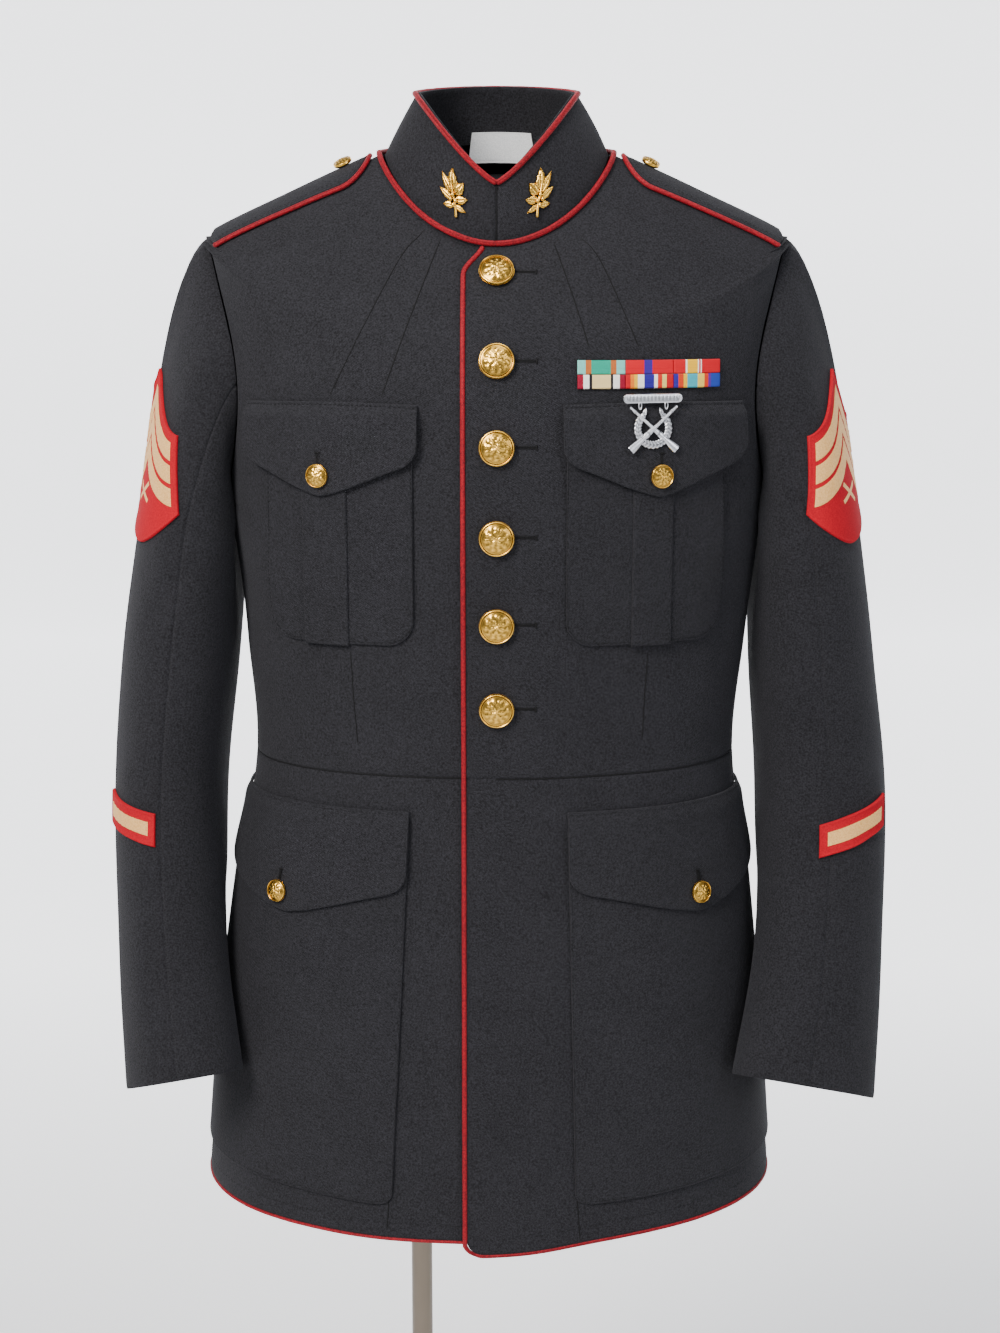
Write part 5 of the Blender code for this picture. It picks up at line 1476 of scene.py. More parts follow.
Edge = Callable[[Array], Array]
Placed = Callable[[Array, Array], tuple[Array, Array, Array]]


@dataclass
class Pockets:
    """Patch pockets and their flaps, laid on the fronts and the skirts."""

    shop: Workshop
    chest_top: float = 1.2650
    chest_flap_sides: tuple[float, ...] = (1.2230, 1.2230)
    chest_bottom: float = 1.0900
    chest_corner: float = 0.0200
    lower_flap_sides: tuple[float, ...] = (0.9045, 0.9180)
    lower_length: float = 0.2300
    lower_bottom_above_hem: float = 0.0360
    lower_bottom_rise: tuple[float, ...] = (-0.0090, 0.0120)
    lower_corner: float = 0.0100

    def build(self) -> None:
        """Makes the chest pockets, then the lower ones."""
        for side, cut in CHEST_POCKETS.items():
            self.chest(side, cut)
        for side in Side:
            self.lower(side)

    def on_front(self, side: Side, inner: float, outer: float) -> Placed:
        """Reads shares of the width between two distances from the centre line, and heights."""

        def place(u: Array, z: Array) -> tuple[Array, Array, Array]:
            """Ring angle, ring number and x."""
            x = side.value * (inner + (outer - inner) * u)
            return (*self.shop.coat.front_place(x, z), x)

        return place

    def on_skirt(self, side: Side) -> Placed:
        """Reads shares of a lower pocket's width, from its front edge round past the side seam."""

        def place(u: Array, z: Array) -> tuple[Array, Array, Array]:
            """Ring angle, ring number and x."""
            phi, ring = self.shop.coat.lower_place(u, z, side)
            return phi, ring, self.shop.coat.base(phi, ring)[..., 0]

        return place

    def patch(
        self, name: str, place: Placed, under: str, width: float, top: Edge, bottom: Edge, lift: float,
        steps: tuple[int, int], stitched: str, wall: float = PATCH_WALL, hang: float = 0.0,
        sunk: float = 0.0003, ease: tuple[float, float, float] = (0.35, 7, 1),
    ) -> None:
        """A patch on a front or a skirt. One that hangs is sewn down along its top edge.

        Args:
            name: the node that it stands for, with the side at its end.
            place: reads shares of its width and heights.
            under: the piece that it lies on, without the side.
            width: its width in metres.
            top: height of its top edge at a share of its width.
            bottom: height of its bottom edge.
            lift: how far its underside lies over that piece.
            steps: columns and rows between its edges.
            stitched: the edges that carry a row of stitches, of "u", "d", "l" and "r".
            wall: its thickness.
            hang: how far its bottom edge stands off.
            sunk: how deep its stitches pull it in.
            ease: where it starts to stand off, and the wave of its bottom edge.
        """
        coat, label = self.shop.coat, name.rsplit("_", 1)[1]
        u = edged(steps[0], width)[None, :]
        v = edged(steps[1], abs(float(np.mean(top(u) - bottom(u)))))[:, None]
        z = top(u) + (bottom(u) - top(u)) * v
        phi, t, x = place(u + 0 * z, z)
        base = coat.base(phi, t)
        lift = drawn_down(lift, top(u) - z) if hang else lift
        start, waves, shift = ease
        stand_off = hang * smoothstep((v - start) / (1 - start)) * (0.7 + 0.3 * np.sin(waves * u + shift))
        off = over_lap(x, lift) + stand_off
        height = rolled(edge_distance(base), wall, stitched=False)
        groove = bell(edge_distance(base, stitched), 0.0006, STITCH_IN) if stitched else 0.0
        outer, inner = coat.at(phi, t, off + height - sunk * groove), coat.at(phi, t, off)
        self.shop.cloth(f"{name}_cloth", outer, inner, rests_on=[f"{under}_{label}_cloth"])
        self.edge_stitches(f"pocket_stitches_{label}", coat, phi, t, off + wall, base, stitched)

    def edge_stitches(
        self, group: str, coat: CoatBody, phi: Array, t: Array, lift: Array, base: Array, edges: str,
    ) -> None:
        """Rows of stitches a little inside the chosen edges of a patch.

        Args:
            group: which run of threads they belong to.
            coat: the surface under the patch.
            phi: ring angle of each point.
            t: ring number of each point.
            lift: height of the patch's outer face over the coat.
            base: the points of the coat itself.
            edges: of "u", "d", "l" and "r".
        """
        skin = coat.at(phi, t, lift + 0.00002)
        down, along = lengths(base, 0), lengths(base, 1)
        rows, columns = skin.shape[:2]
        for edge in edges:
            if edge in "ud":
                travelled = down if edge == "u" else down[-1:] - down
                order = slice(None) if edge == "u" else slice(None, None, -1)
                keep = range(3, columns - 3)
                lines = [(travelled[order, c], skin[order, c]) for c in keep]
            else:
                travelled = along if edge == "l" else along[:, -1:] - along
                order = slice(None) if edge == "l" else slice(None, None, -1)
                keep = range(4, rows - 8)
                lines = [(travelled[r, order], skin[r, order]) for r in keep]
            path = np.array([path_at(line, way, STITCH_IN) for way, line in lines])
            self.shop.sew(group, path, POCKET_STITCH, Lie.ALONG)

    def chest(self, side: Side, cut: ChestPocket) -> None:
        """A chest pocket with a raised middle pleat and a pointed flap."""
        flap_width = cut.flap_outer - cut.flap_inner
        at = (cut.point - cut.flap_inner) / flap_width
        above = PATCH_LIFT + PATCH_WALL + GAP
        rows = (
            ("pocket", cut.inner, cut.outer, lambda u: self.chest_top - 0.008 + 0 * u,
             lambda u: self.chest_bottom + rounded_foot(u, cut.outer - cut.inner, self.chest_corner),
             PATCH_LIFT, (42, 48), "dlr", PATCH_WALL, 0.0),
            ("pleat", cut.pleat_inner, cut.pleat_outer, lambda u: CHEST_FLAP_POINT + 0.020 + 0 * u,
             lambda u: self.chest_bottom - 0.0012 + 0 * u, above - 0.0004, (14, 60), "", WALL, 0.0),
            ("flap", cut.flap_inner, cut.flap_outer, lambda u: self.chest_top + 0.0015 * np.sin(np.pi * u),
             lambda u: pointed_foot(u, at, self.chest_flap_sides, CHEST_FLAP_POINT, flap_width),
             above + WALL + GAP, (66, 30), "u", PATCH_WALL, 0.0012),
        )
        for kind, inner, outer, *rest in rows:
            place = self.on_front(side, inner, outer)
            self.patch(f"chest_{kind}_{side.label}", place, "front", outer - inner, *rest)

    def lower(self, side: Side) -> None:
        """A large patch pocket on the skirt, with a pointed flap."""
        (first, last), at = self.lower_bottom_rise, LOWER_FLAP_POINT_SHARE[side]
        rows = (
            ("pocket", lambda u: LOWER_FLAP_TOP - 0.012 + 0 * u,
             lambda u: SECTIONS[HEM].front + self.lower_bottom_above_hem + first * (1 - u) + last * u
             + rounded_foot(u, self.lower_length, self.lower_corner), PATCH_LIFT, (60, 56), "dl", 0.0),
            ("flap", lambda u: LOWER_FLAP_TOP + 0 * u,
             lambda u: pointed_foot(u, at, self.lower_flap_sides, LOWER_FLAP_POINT, self.lower_length),
             2 * PATCH_LIFT + PATCH_WALL, (60, 26), "u", 0.0014),
        )
        for kind, top, bottom, lift, steps, stitched, hang in rows:
            self.patch(
                f"lower_{kind}_{side.label}", self.on_skirt(side), "skirt", self.lower_length, top, bottom,
                lift, steps, stitched, hang=hang, sunk=0.0, ease=(0.3, 6, 2),
            )


@dataclass
class Straps:
    """Shoulder straps with a cord round their edge."""

    shop: Workshop
    strap_sleeve_end: float = 0.2135
    strap_half_sleeve: float = 0.0270
    strap_half_neck: float = 0.0240
    strap_round: float = 0.0200
    strap_stitch_in: float = 0.0042

    def half(self, x: Array) -> Array:
        """Half the strap's width at this distance from the centre line."""
        share = (x - STRAP_NECK_END) / (self.strap_sleeve_end - STRAP_NECK_END)
        return self.strap_half_neck + (self.strap_half_sleeve - self.strap_half_neck) * np.maximum(share, 0.0)

    def rim(self, grow: float) -> tuple[Array, Array]:
        """Top-view places along the left strap's edge, moved out by grow."""
        straight = np.linspace(self.strap_sleeve_end, STRAP_NECK_END + self.strap_round, 60)[:-1]
        turns = np.linspace(-math.pi / 2, math.pi / 2, 46)
        round_x = STRAP_NECK_END + self.strap_round - (self.strap_round + grow) * np.cos(turns)
        round_y = (self.half(np.array(STRAP_NECK_END + self.strap_round)) + grow) * np.sin(turns)
        front_y = -(self.half(straight) + grow)
        x = np.concatenate([straight, round_x, straight[::-1]])
        return x, np.concatenate([front_y, round_y, -front_y[::-1]])

    def build(self) -> None:
        """Makes both straps, each with its cord and its stitches."""
        coat = self.shop.coat
        for side in Side:
            u = (1 - (1 - np.linspace(0, 1, 70)) ** 1.6)[:, None]
            w = (2 * edged(26, 0.05) - 1)[None, :]
            x = self.strap_sleeve_end - (self.strap_sleeve_end - STRAP_NECK_END) * u
            near = np.clip((STRAP_NECK_END + self.strap_round - x) / self.strap_round, 0.0, 1.0)
            half = self.half(x) * np.sqrt(np.maximum(1 - near**2, 0.004))
            phi, t = coat.shoulder_place(x + 0 * w, half * w)
            phi = side.value * phi
            distance = edge_distance(coat.base(phi, t))
            outer = coat.at(phi, t, STRAP_LIFT + rolled(distance, STRAP_WALL, roll=0.0016))
            inner = coat.at(phi, t, STRAP_LIFT)
            name = f"shoulder_strap_{side.label}"
            self.shop.cloth(f"{name}_cloth", outer, inner, rests_on=[f"front_{side.label}_cloth"])
            phi, t = coat.shoulder_place(*self.rim(EDGE_CORD + GAP))
            path = coat.at(side.value * phi, t, EDGE_CORD * 0.8 + STRAP_LIFT)
            piece = tube(f"strap_cord_{side.label}_piping", self.shop.finishes["cord"], path, EDGE_CORD)
            self.shop.finish_piece(piece, "red_cord", f"strap_cord_{side.label}")
            phi, t = coat.shoulder_place(*self.rim(-self.strap_stitch_in))
            line = coat.at(side.value * phi, t, STRAP_LIFT + STRAP_WALL + 0.00002)
            self.shop.sew(f"pocket_stitches_{side.label}", line[4:-4], POCKET_STITCH, Lie.ALONG)


Placing = Callable[[Array, Array, Array], Array]


def plane_at(centre: Array, normal: Array) -> Placing:
    """A flat frame on the cloth, read as (across, up, out)."""
    out = np.asarray(normal, float).reshape(3)
    out = out / np.linalg.norm(out)
    above = np.array((0.0, 1.0, 0.0)) if abs(out[2]) > 0.8 else np.array((0.0, 0.0, 1.0))
    across = np.cross(above, out)
    across = across / np.linalg.norm(across)
    up = np.cross(out, across)
    middle = np.asarray(centre, float).reshape(3)

    def place(a: Array, b: Array, lift: Array) -> Array:
        """A point across, up and out from the middle."""
        a, b, lift = np.broadcast_arrays(a, b, lift)
        return middle + a[..., None] * across + b[..., None] * up + lift[..., None] * out

    return place


def join(name: str, pieces: Sequence[bpy.types.Object]) -> bpy.types.Object:
    """Joins pieces into the first one and names it."""
    with bpy.context.temp_override(active_object=pieces[0], selected_editable_objects=list(pieces)):
        bpy.ops.object.join()
    pieces[0].name = pieces[0].data.name = name
    return pieces[0]


def leaf(
    name: str, material: bpy.types.Material, place: Placing, centre: tuple[float, float], angle: float,
    length: float, width: float, height: float,
) -> bpy.types.Object:
    """A pointed metal leaf with a sunk middle vein.

    Args:
        name: the piece's name.
        material: its finish.
        place: the frame that it lies in.
        centre: its middle in that frame.
        angle: where its tip points.
        length: from stalk to tip.
        width: at its widest.
        height: how far its ridges stand out.
    """
    u = np.linspace(0.0, 1.0, 19)[:, None]
    w = np.linspace(-1.0, 1.0, 13)[None, :]
    half = width / 2 * np.maximum(np.sin(math.pi * u**0.8), 0.03) * (1 + 0.10 * np.cos(9 * math.pi * u))
    a, b = (u - 0.5) * length, half * w
    across = centre[0] + a * math.cos(angle) - b * math.sin(angle)
    up = centre[1] + a * math.sin(angle) + b * math.cos(angle)
    vein = bell(w, 0.16) + 0.5 * np.maximum(np.cos(12 * math.pi * (u + 0.10 * np.abs(w))), 0.0) ** 4
    rise = height * (0.35 + 0.65 * np.sqrt(np.maximum(1 - w**2, 0.0)) * np.sin(math.pi * u) ** 0.4)
    rise = rise - 0.28 * height * vein
    piece = slab(name, material, place(across, up, rise), place(across, up, np.zeros_like(rise)))
    # Painted shade: darker along the sunk veins and at the leaf's edge
    dark = np.clip(vein, 0, 1) * 0.8 + 0.5 * (np.abs(w) > 0.9) * np.ones_like(u)
    return mark_hollows(piece, dark)


@dataclass
class Buttons:
    """Domed gilt buttons with a rim, a wreath and a rosette, and their buttonholes."""

    shop: Workshop
    button_above_point: float = 0.0150
    strap_button_in: float = 0.0170
    big_button: tuple[float, ...] = (0.0128, 0.0062)
    slit: tuple[float, ...] = (0.0128, 0.0285)
    small_button: tuple[float, ...] = (0.0085, 0.0048)
    strap_button: tuple[float, ...] = (0.0072, 0.0042)
    front_button_heights: tuple[float, ...] = (1.3560, 1.2950, 1.2350, 1.1710, 1.1070, 1.0440)

    def build(self) -> None:
        """Seats every button and works its slit."""
        coat = self.shop.coat
        for number, z in enumerate(self.front_button_heights, 1):
            phi, t = coat.front_place(np.array(0.0), np.array(z))
            place = coat.at(phi, t, LAP_LIFT + 2 * GAP)
            turn = 0.35 * math.sin(2.1 * number)
            self.button(f"front_button_{number}", self.big_button, plane_at(place, coat.normal(phi, t)), turn)
            self.buttonhole(f"front_hole_{number}", self.slit, (z + 0.0006, z + 0.0002))
        above = PATCH_LIFT + 3 * GAP + 2 * PATCH_WALL + WALL
        for side, cut in CHEST_POCKETS.items():
            x, z = side.value * cut.point, CHEST_FLAP_POINT + self.button_above_point
            phi, t = coat.front_place(np.array(x), np.array(z))
            place = coat.at(phi, t, over_lap(np.array(x), above))
            name = f"chest_button_{side.label}"
            self.button(name, self.small_button, plane_at(place, coat.normal(phi, t)), 0.2)
            self.slot_above(f"chest_hole_{side.label}", phi, t, over_lap(np.array(x), above - GAP))
        for side in Side:
            u, z = LOWER_BUTTON_SHARE[side], LOWER_FLAP_POINT + self.button_above_point
            phi, t = coat.lower_place(np.array(u), np.array(z), side)
            lift = over_lap(coat.base(phi, t)[..., 0], 2 * PATCH_LIFT + 2 * PATCH_WALL + GAP + 0.0006)
            name = f"lower_button_{side.label}"
            self.button(name, self.small_button, plane_at(coat.at(phi, t, lift), coat.normal(phi, t)), -0.3)
            self.slot_above(f"lower_hole_{side.label}", phi, t, lift)
            phi, t = coat.shoulder_place(np.array(STRAP_NECK_END + self.strap_button_in), np.array(0.0))
            phi = side.value * phi
            place = coat.at(phi, t, STRAP_LIFT + STRAP_WALL + GAP + 0.0012)
            name = f"strap_button_{side.label}"
            normal = coat.normal(phi, t) + STRAP_BUTTON_LEAN
            self.button(name, self.strap_button, plane_at(place, normal), 0.1)

    def button(self, name: str, size: tuple[float, float], place: Placing, turn: float) -> None:
        """A button lying in a frame.

        Args:
            name: the node that it stands for.
            size: radius and height.
            place: the frame, with its origin under the middle.
            turn: how far the button is turned round its middle.
        """
        radius, height = size
        edge = (0.86, 0.875, 0.89, 0.91, 0.935, 0.96, 0.98, 0.995, 1.0)
        share = np.concatenate([np.linspace(0.0, 0.84, 26), edge])[:, None]
        q = circle(64)[None, :]
        dome = height * (0.60 + 0.40 * (1 - np.clip(share / 0.85, 0, 1) ** 2))
        rim = height * (0.42 + 0.26 * np.sqrt(np.maximum(1 - ((share - 0.94) / 0.062) ** 2, 0.0)))
        petals = (0.5 + 0.5 * np.cos(5 * q + 0.6)) ** 0.7 * bell(share, 0.15, 0.22)
        heart = bell(share, 0.09)
        leaves = (0.5 + 0.5 * np.sin(11 * q + 8 * np.abs(share - 0.60))) * bell(share, 0.13, 0.60)
        sprigs = bell(share, 0.07, 0.40) * (0.5 + 0.5 * np.cos(8 * q + 1.0))
        relief = petals + heart + 0.95 * leaves + 0.7 * sprigs
        pebble = np.sin(share * 61 + 3 * np.sin(9 * q)) * np.sin(23 * q + 17 * share)
        inside = smoothstep((0.86 - share) / 0.05)
        surface = np.where(share < 0.868, dome, rim) + inside * height * (0.105 * relief + 0.014 * pebble)
        surface = np.where(share > 0.99, height * 0.30 * np.ones_like(surface), surface)
        q = q + turn
        a, b = radius * share * np.cos(q), radius * share * np.sin(q)
        foot_share, foot_up = np.array([[0.97], [0.90]]), height * np.array([[0.10], [0.0]])
        foot = place(radius * foot_share * np.cos(q), radius * foot_share * np.sin(q), foot_up)
        points = np.concatenate([place(a, b, surface), foot]).reshape(-1, 3)
        rows, around = len(share) + 2, q.shape[1]
        faces = grid_quads(rows, around, wrap=True).tolist()
        faces.append([(rows - 1) * around + k for k in range(around)])
        # Painted shade: darker in the recesses between the relief, in the groove inside the rim and on the
        # foot under the button
        sunk = inside * np.clip(1.05 - 1.25 * relief, 0.0, 1.0) * (0.75 + 0.25 * pebble)
        sunk = np.maximum(sunk, bell(share, 0.014, 0.872))
        hollow = np.concatenate([sunk.ravel(), np.full(2 * around, 0.8)])
        piece = face_out(add_mesh(f"{name}_metal", self.shop.finishes["gilt"], points, faces))
        self.shop.finish_piece(mark_hollows(piece, hollow), "gilt_metal", name)

    def buttonhole(self, name: str, x: tuple[float, ...], z: tuple[float, ...]) -> None:
        """A worked slit in the left front, from the button towards the side."""
        coat = self.shop.coat
        share = np.linspace(0, 1, 22)
        x, z = x[0] + (x[1] - x[0]) * share, z[0] + (z[1] - z[0]) * share
        phi, t = coat.front_place(x, z)
        self.worked_slit(name, coat.at(phi, t, LAP_LIFT + 0.0001), coat.normal(phi, t))

    def slot_above(self, name: str, phi: Array, t: Array, lift: Array) -> None:
        """A worked slit in a flap, straight above its button.

        Args:
            name: the piece's name.
            phi: the button's ring angle.
            t: the button's ring number.
            lift: height of the flap's outer face over the coat.
        """
        coat = self.shop.coat
        z = float(coat.base(phi, t)[2]) + np.linspace(0.0070, 0.0165, 16)
        ring = coat.ring_of(np.full(16, float(phi)), z)
        path = coat.at(np.full(16, float(phi)), ring, float(lift) + 0.0001)
        self.worked_slit(name, path, coat.normal(np.full(16, float(phi)), ring))

    def worked_slit(self, name: str, path: Array, normal: Array) -> None:
        """A slit with close stitches across it and a bar tack at its far end; its lips are dark thread, and
        their darkness is also painted shade of the open slit.
        """
        thread = self.shop.finishes["thread"]
        run = np.gradient(path, axis=0)
        aside = np.cross(run, normal)
        aside /= np.linalg.norm(aside, axis=1, keepdims=True)
        # The dark lips paint the shade inside the open slit as well as its worked thread
        lips = [tube(f"{name}_lip", thread, path + aside * s * 0.00045, 0.00036, 8) for s in (-1, 1)]
        end, out, across = path[-1], normal[-1] * 0.0003, aside[-1] * 0.0017
        bar = np.array([end + out - across, end + out, end + out + across])
        tack = tube(f"{name}_tack", thread, bar, 0.0006, 8)
        self.shop.finish_piece(join(name, [*lips, tack]), "wool")
        for s in (-1, 1):
            self.shop.sew("buttonhole_stitches", path + aside * s * 0.0009, 0.0009, Lie.ACROSS, normal)


@dataclass
class Insignia:
    """Leaf ornaments, ribbons, the silver badge, chevrons, stripes and the label."""

    shop: Workshop
    ribbon_box: tuple[tuple[float, ...], ...] = ((0.0570, 0.1600), (1.2760, 1.2960))
    badge_centre: tuple[float, ...] = (0.1090, 1.2480)
    badge_bar_height: float = 1.2692
    badge_ring: tuple[float, ...] = (0.0086, 0.0148)
    badge_bar_size: tuple[float, ...] = (0.0450, 0.0066)
    badge_link_out: float = 0.0100
    rifle_length: float = 0.0470
    rifle_angle: float = math.radians(41)
    ornament_psi: float = 0.44
    ornament_height: float = 0.47
    collar_span: tuple[float, ...] = (0.0680, 0.0570)
    label_reach: tuple[float, ...] = (-0.0175, 0.0245)
    label_height: tuple[float, ...] = (-0.33, 0.22)
    stripe_half_length: float = 0.0280
    stripe_half_height: float = 0.0125
    badge_wall: float = 0.0016

    def build(self) -> None:
        """Makes both sides' ornaments and patches, then the ribbons, the badge and the label."""
        for side in Side:
            self.ornament(side)
            self.chevrons(side)
            self.stripe(side)
        self.ribbons()
        self.badge()
        self.label()

    def ornament(self, side: Side) -> None:
        """A gilt spray of leaves and berries on the collar."""
        collar, gilt = self.shop.collar, self.shop.finishes["gilt"]
        lean = math.radians(14)

        def place(across: Array, up: Array, lift: Array) -> Array:
            """A point on the collar, in a frame that leans to the back."""
            turned = across * math.cos(lean) + up * math.sin(lean)
            raised = up * math.cos(lean) - across * math.sin(lean)
            psi = side.value * (self.ornament_psi + turned / self.collar_span[0])
            return collar.at(psi, self.ornament_height + raised / self.collar_span[1], lift + GAP)

        leaves = (
            ((0.0, 0.0085), 90, 0.0125, 0.0072), ((-0.0048, 0.0045), 128, 0.0120, 0.0062),
            ((0.0048, 0.0045), 52, 0.0120, 0.0062), ((-0.0056, -0.0020), 158, 0.0100, 0.0054),
            ((0.0056, -0.0020), 22, 0.0100, 0.0054), ((-0.0042, -0.0080), 196, 0.0078, 0.0044),
            ((0.0042, -0.0080), -16, 0.0078, 0.0044),
        )
        pieces = [
            leaf(f"leaf_{k}", gilt, place, middle, math.radians(angle), length, width, 0.0026 - 0.0002 * k)
            for k, (middle, angle, length, width) in enumerate(leaves)
        ]
        up = np.linspace(-0.0135, 0.0060, 24)
        bend = 0.0012 * np.sin(up / 0.0060)
        stem = tube("stem", gilt, place(bend, up, np.full(24, 0.0016)), np.linspace(0.0011, 0.0006, 24), 10)
        pieces.append(mark_hollows(stem, 0.0))
        for k, (a, b) in enumerate(((0.0, -0.0010), (-0.0018, -0.0040), (0.0018, -0.0042), (0.0, -0.0070))):
            drop = place(np.array((a, a, a)), np.array((b - 0.0008, b, b + 0.0008)), np.full(3, 0.0024))
            berry = tube(f"berry_{k}", gilt, drop, np.array((0.0010, 0.0015, 0.0010)), 12)
            pieces.append(mark_hollows(berry, 0.0))
        piece = join(f"collar_ornament_{side.label}_metal", pieces)
        self.shop.finish_piece(piece, "gilt_metal", f"collar_ornament_{side.label}")

    def patch(
        self, name: str, side: Side, reach: Array, z: Array, about: Array | float,
        gold: Callable[[Array, Array], Array], material: bpy.types.Material,
    ) -> None:
        """A felt patch on a sleeve, raised where it carries gold braid.

        Args:
            name: the node that it stands for.
            side: the wearer's side.
            reach: distance of each point from the patch's middle line.
            z: height of each point.
            about: turn of the middle line at each point.
            gold: 1 where the braid lies, from reach and height.
            material: its finish.
        """
        sleeve = self.shop.sleeves[side]
        turn = sleeve.turn_over(reach, about)
        rows = sleeve.row_at(turn, z)
        distance = edge_distance(sleeve.base(turn, rows))
        height = rolled(distance, self.badge_wall, stitched=False, roll=0.0010)
        height = height + 0.00045 * bell(distance, 0.0007, 0.0011) + 0.0004 * gold(reach, z)
        outer = sleeve.at(turn, rows, PATCH_LIFT + height)
        inner = sleeve.at(turn, rows, PATCH_LIFT * 0.5 + 0 * z)
        piece = slab(f"{name}_cloth", material, outer, inner)
        flat = np.stack(np.broadcast_arrays(reach, z), axis=-1).reshape(-1, 2)
        index = np.empty(len(piece.data.loops), np.int32)
        piece.data.loops.foreach_get("vertex_index", index)
        layer = piece.data.uv_layers["cloth"]
        layer.data.foreach_set("uv", np.concatenate([flat, flat])[index].astype(np.float32).ravel())
        self.shop.finish_piece(piece, "red_felt", name)
        self.shop.declare_sheet(piece, outer, inner, "hung", [f"top_sleeve_{side.label}_cloth"])

    def chevrons(self, side: Side) -> None:
        """A red shield with three gold chevrons and small crossed rifles."""
        foot, low, shoulder, tip = CHEVRON_HEIGHTS
        share = 2 * edged(44, 0.086)[None, :] - 1
        top = shoulder + (tip - shoulder) * (1 - np.abs(share)) ** CHEVRON_TOP_POWER
        bottom = foot + (low - foot) * np.abs(share) ** 1.6
        z = top + (bottom - top) * edged(72, 0.110)[:, None]
        at_foot, at_tip = CHEVRON_TURNS[side]
        about = at_foot + (at_tip - at_foot) * (z - foot) / (tip - foot)
        reach = share * CHEVRON_HALF + 0 * z
        name = f"chevron_patch_{side.label}"
        self.patch(name, side, reach, z, about, chevron_gold, self.shop.finishes["chevron"])

    def stripe(self, side: Side) -> None:
        """A red stripe with a gold bar."""
        about, height, fall = STRIPES[side]
        reach = self.stripe_half_length * (2 * edged(46, 0.056)[None, :] - 1)
        z = height - fall * reach + self.stripe_half_height * (1 - 2 * edged(20, 0.025)[:, None])
        reach = reach + 0 * z

        def gold(r: Array, h: Array) -> Array:
            """1 within the gold bar."""
            inside = np.abs(h - height + fall * r) < STRIPE_BAR[1]
            return (inside & (np.abs(r) < STRIPE_BAR[0])).astype(float)

        material = self.shop.finishes[f"stripe_{side.label}"]
        self.patch(f"service_stripe_{side.label}", side, reach, z, about + 0 * z, gold, material)

    def ribbons(self) -> None:
        """Six striped ribbons in two rows on a thin bar."""
        coat = self.shop.coat
        (left, right), (bottom, top) = self.ribbon_box
        x, z = np.meshgrid(left + (right - left) * edged(30, 0.1), top + (bottom - top) * edged(6, 0.02))
        bar = slab(
            "ribbon_plate", self.shop.finishes["steel"], coat.front_at(x, z, over_lap(x, 2 * GAP + 0.0009)),
            coat.front_at(x, z, over_lap(x, 2 * GAP)),
        )
        # The whole bar takes most of the steel's darker colour: painted shade under and between the ribbons
        self.shop.finish_piece(mark_hollows(bar, 0.8), "ribbon_cloth", "ribbon_bar")
        width, height = (right - left) / 3, (top - bottom) / 2
        for number, pattern in enumerate(RIBBON_PATTERNS):
            row, column = divmod(number, 3)
            u, v = edged(20, width)[None, :], edged(8, height)[:, None]
            x = left + column * width + 0.0002 + (width - 0.0004) * u + 0 * v
            z = top - row * height - 0.0001 - (height - 0.0002) * v + 0 * u
            base = coat.front_at(x, z)
            height_over = rolled(edge_distance(base, "ud"), 0.0013, stitched=False, roll=0.0009)
            height_over = height_over - 0.0003 * bell(edge_distance(base, "lr"), 0.0004)
            under = over_lap(x, 2 * GAP + 0.0009)
            piece = slab(
                f"ribbon_{number + 1}", self.shop.ribbon_finish(number, pattern, width - 0.0004),
                coat.front_at(x, z, under + height_over), coat.front_at(x, z, under),
            )
            self.shop.finish_piece(piece, "ribbon_cloth")

    def badge(self) -> None:
        """The silver badge: a bar, two links, an open wreath and two crossed rifles."""
        coat, silver = self.shop.coat, self.shop.finishes["silver"]
        x0, z0 = self.badge_centre
        phi, t = coat.front_place(np.array(x0), np.array(z0))
        seat = over_lap(np.array(x0), PATCH_LIFT + 4 * GAP + 2 * PATCH_WALL + WALL)
        place = plane_at(coat.at(phi, t, seat), coat.normal(phi, t))
        bar_up = self.badge_bar_height - z0
        pieces = [self.badge_bar(place, bar_up)]
        middle, half = sum(self.badge_ring) / 2, (self.badge_ring[1] - self.badge_ring[0]) / 2
        around = np.radians(np.linspace(118, 422, 150))[:, None]
        s = np.linspace(-1, 1, 15)[None, :]
        ends = np.sqrt(np.clip(np.minimum(around - around[0], around[-1] - around) / 0.35, 0.02, 1.0))
        veins = np.abs(np.sin(14 * (around + 0.16 * np.abs(s)))) ** 0.6
        reach = middle + half * ends * s * (0.92 + 0.08 * np.cos(28 * around))
        rise = 0.0006 + 0.0015 * np.sqrt(1 - s**2) * (0.55 + 0.45 * veins)
        a, b = reach * np.cos(around), reach * np.sin(around)
        wreath = slab("wreath", silver, place(a, b, rise), place(a, b, 0 * rise))
        # Painted shade: darker between the veins and along the wreath's middle line
        dark = (1 - veins) * 0.9 + 0.6 * bell(s, 0.12)
        pieces.append(mark_hollows(wreath, dark))
        for sign in (-1, 1):
            angle = math.pi / 2 + sign * 0.35
            stalk = (sign * 0.0062, 0.0118)
            pieces.append(leaf("wreath_leaf", silver, place, stalk, angle, 0.0062, 0.0034, 0.0016))
            turns = circle(28)
            a = sign * self.badge_link_out + 0.0011 * np.cos(turns)
            b = (bar_up - self.badge_bar_size[1] / 2 + 0.0145) / 2 + 0.0026 * np.sin(turns)
            link = tube("link", silver, place(a, b, np.full(28, 0.0012)), 0.00045, 8, closed=True)
            pieces += [mark_hollows(link, 0.0), self.rifle(place, sign)]
        piece = join("qualification_badge_metal", pieces)
        self.shop.finish_piece(piece, "silver_metal", "qualification_badge")

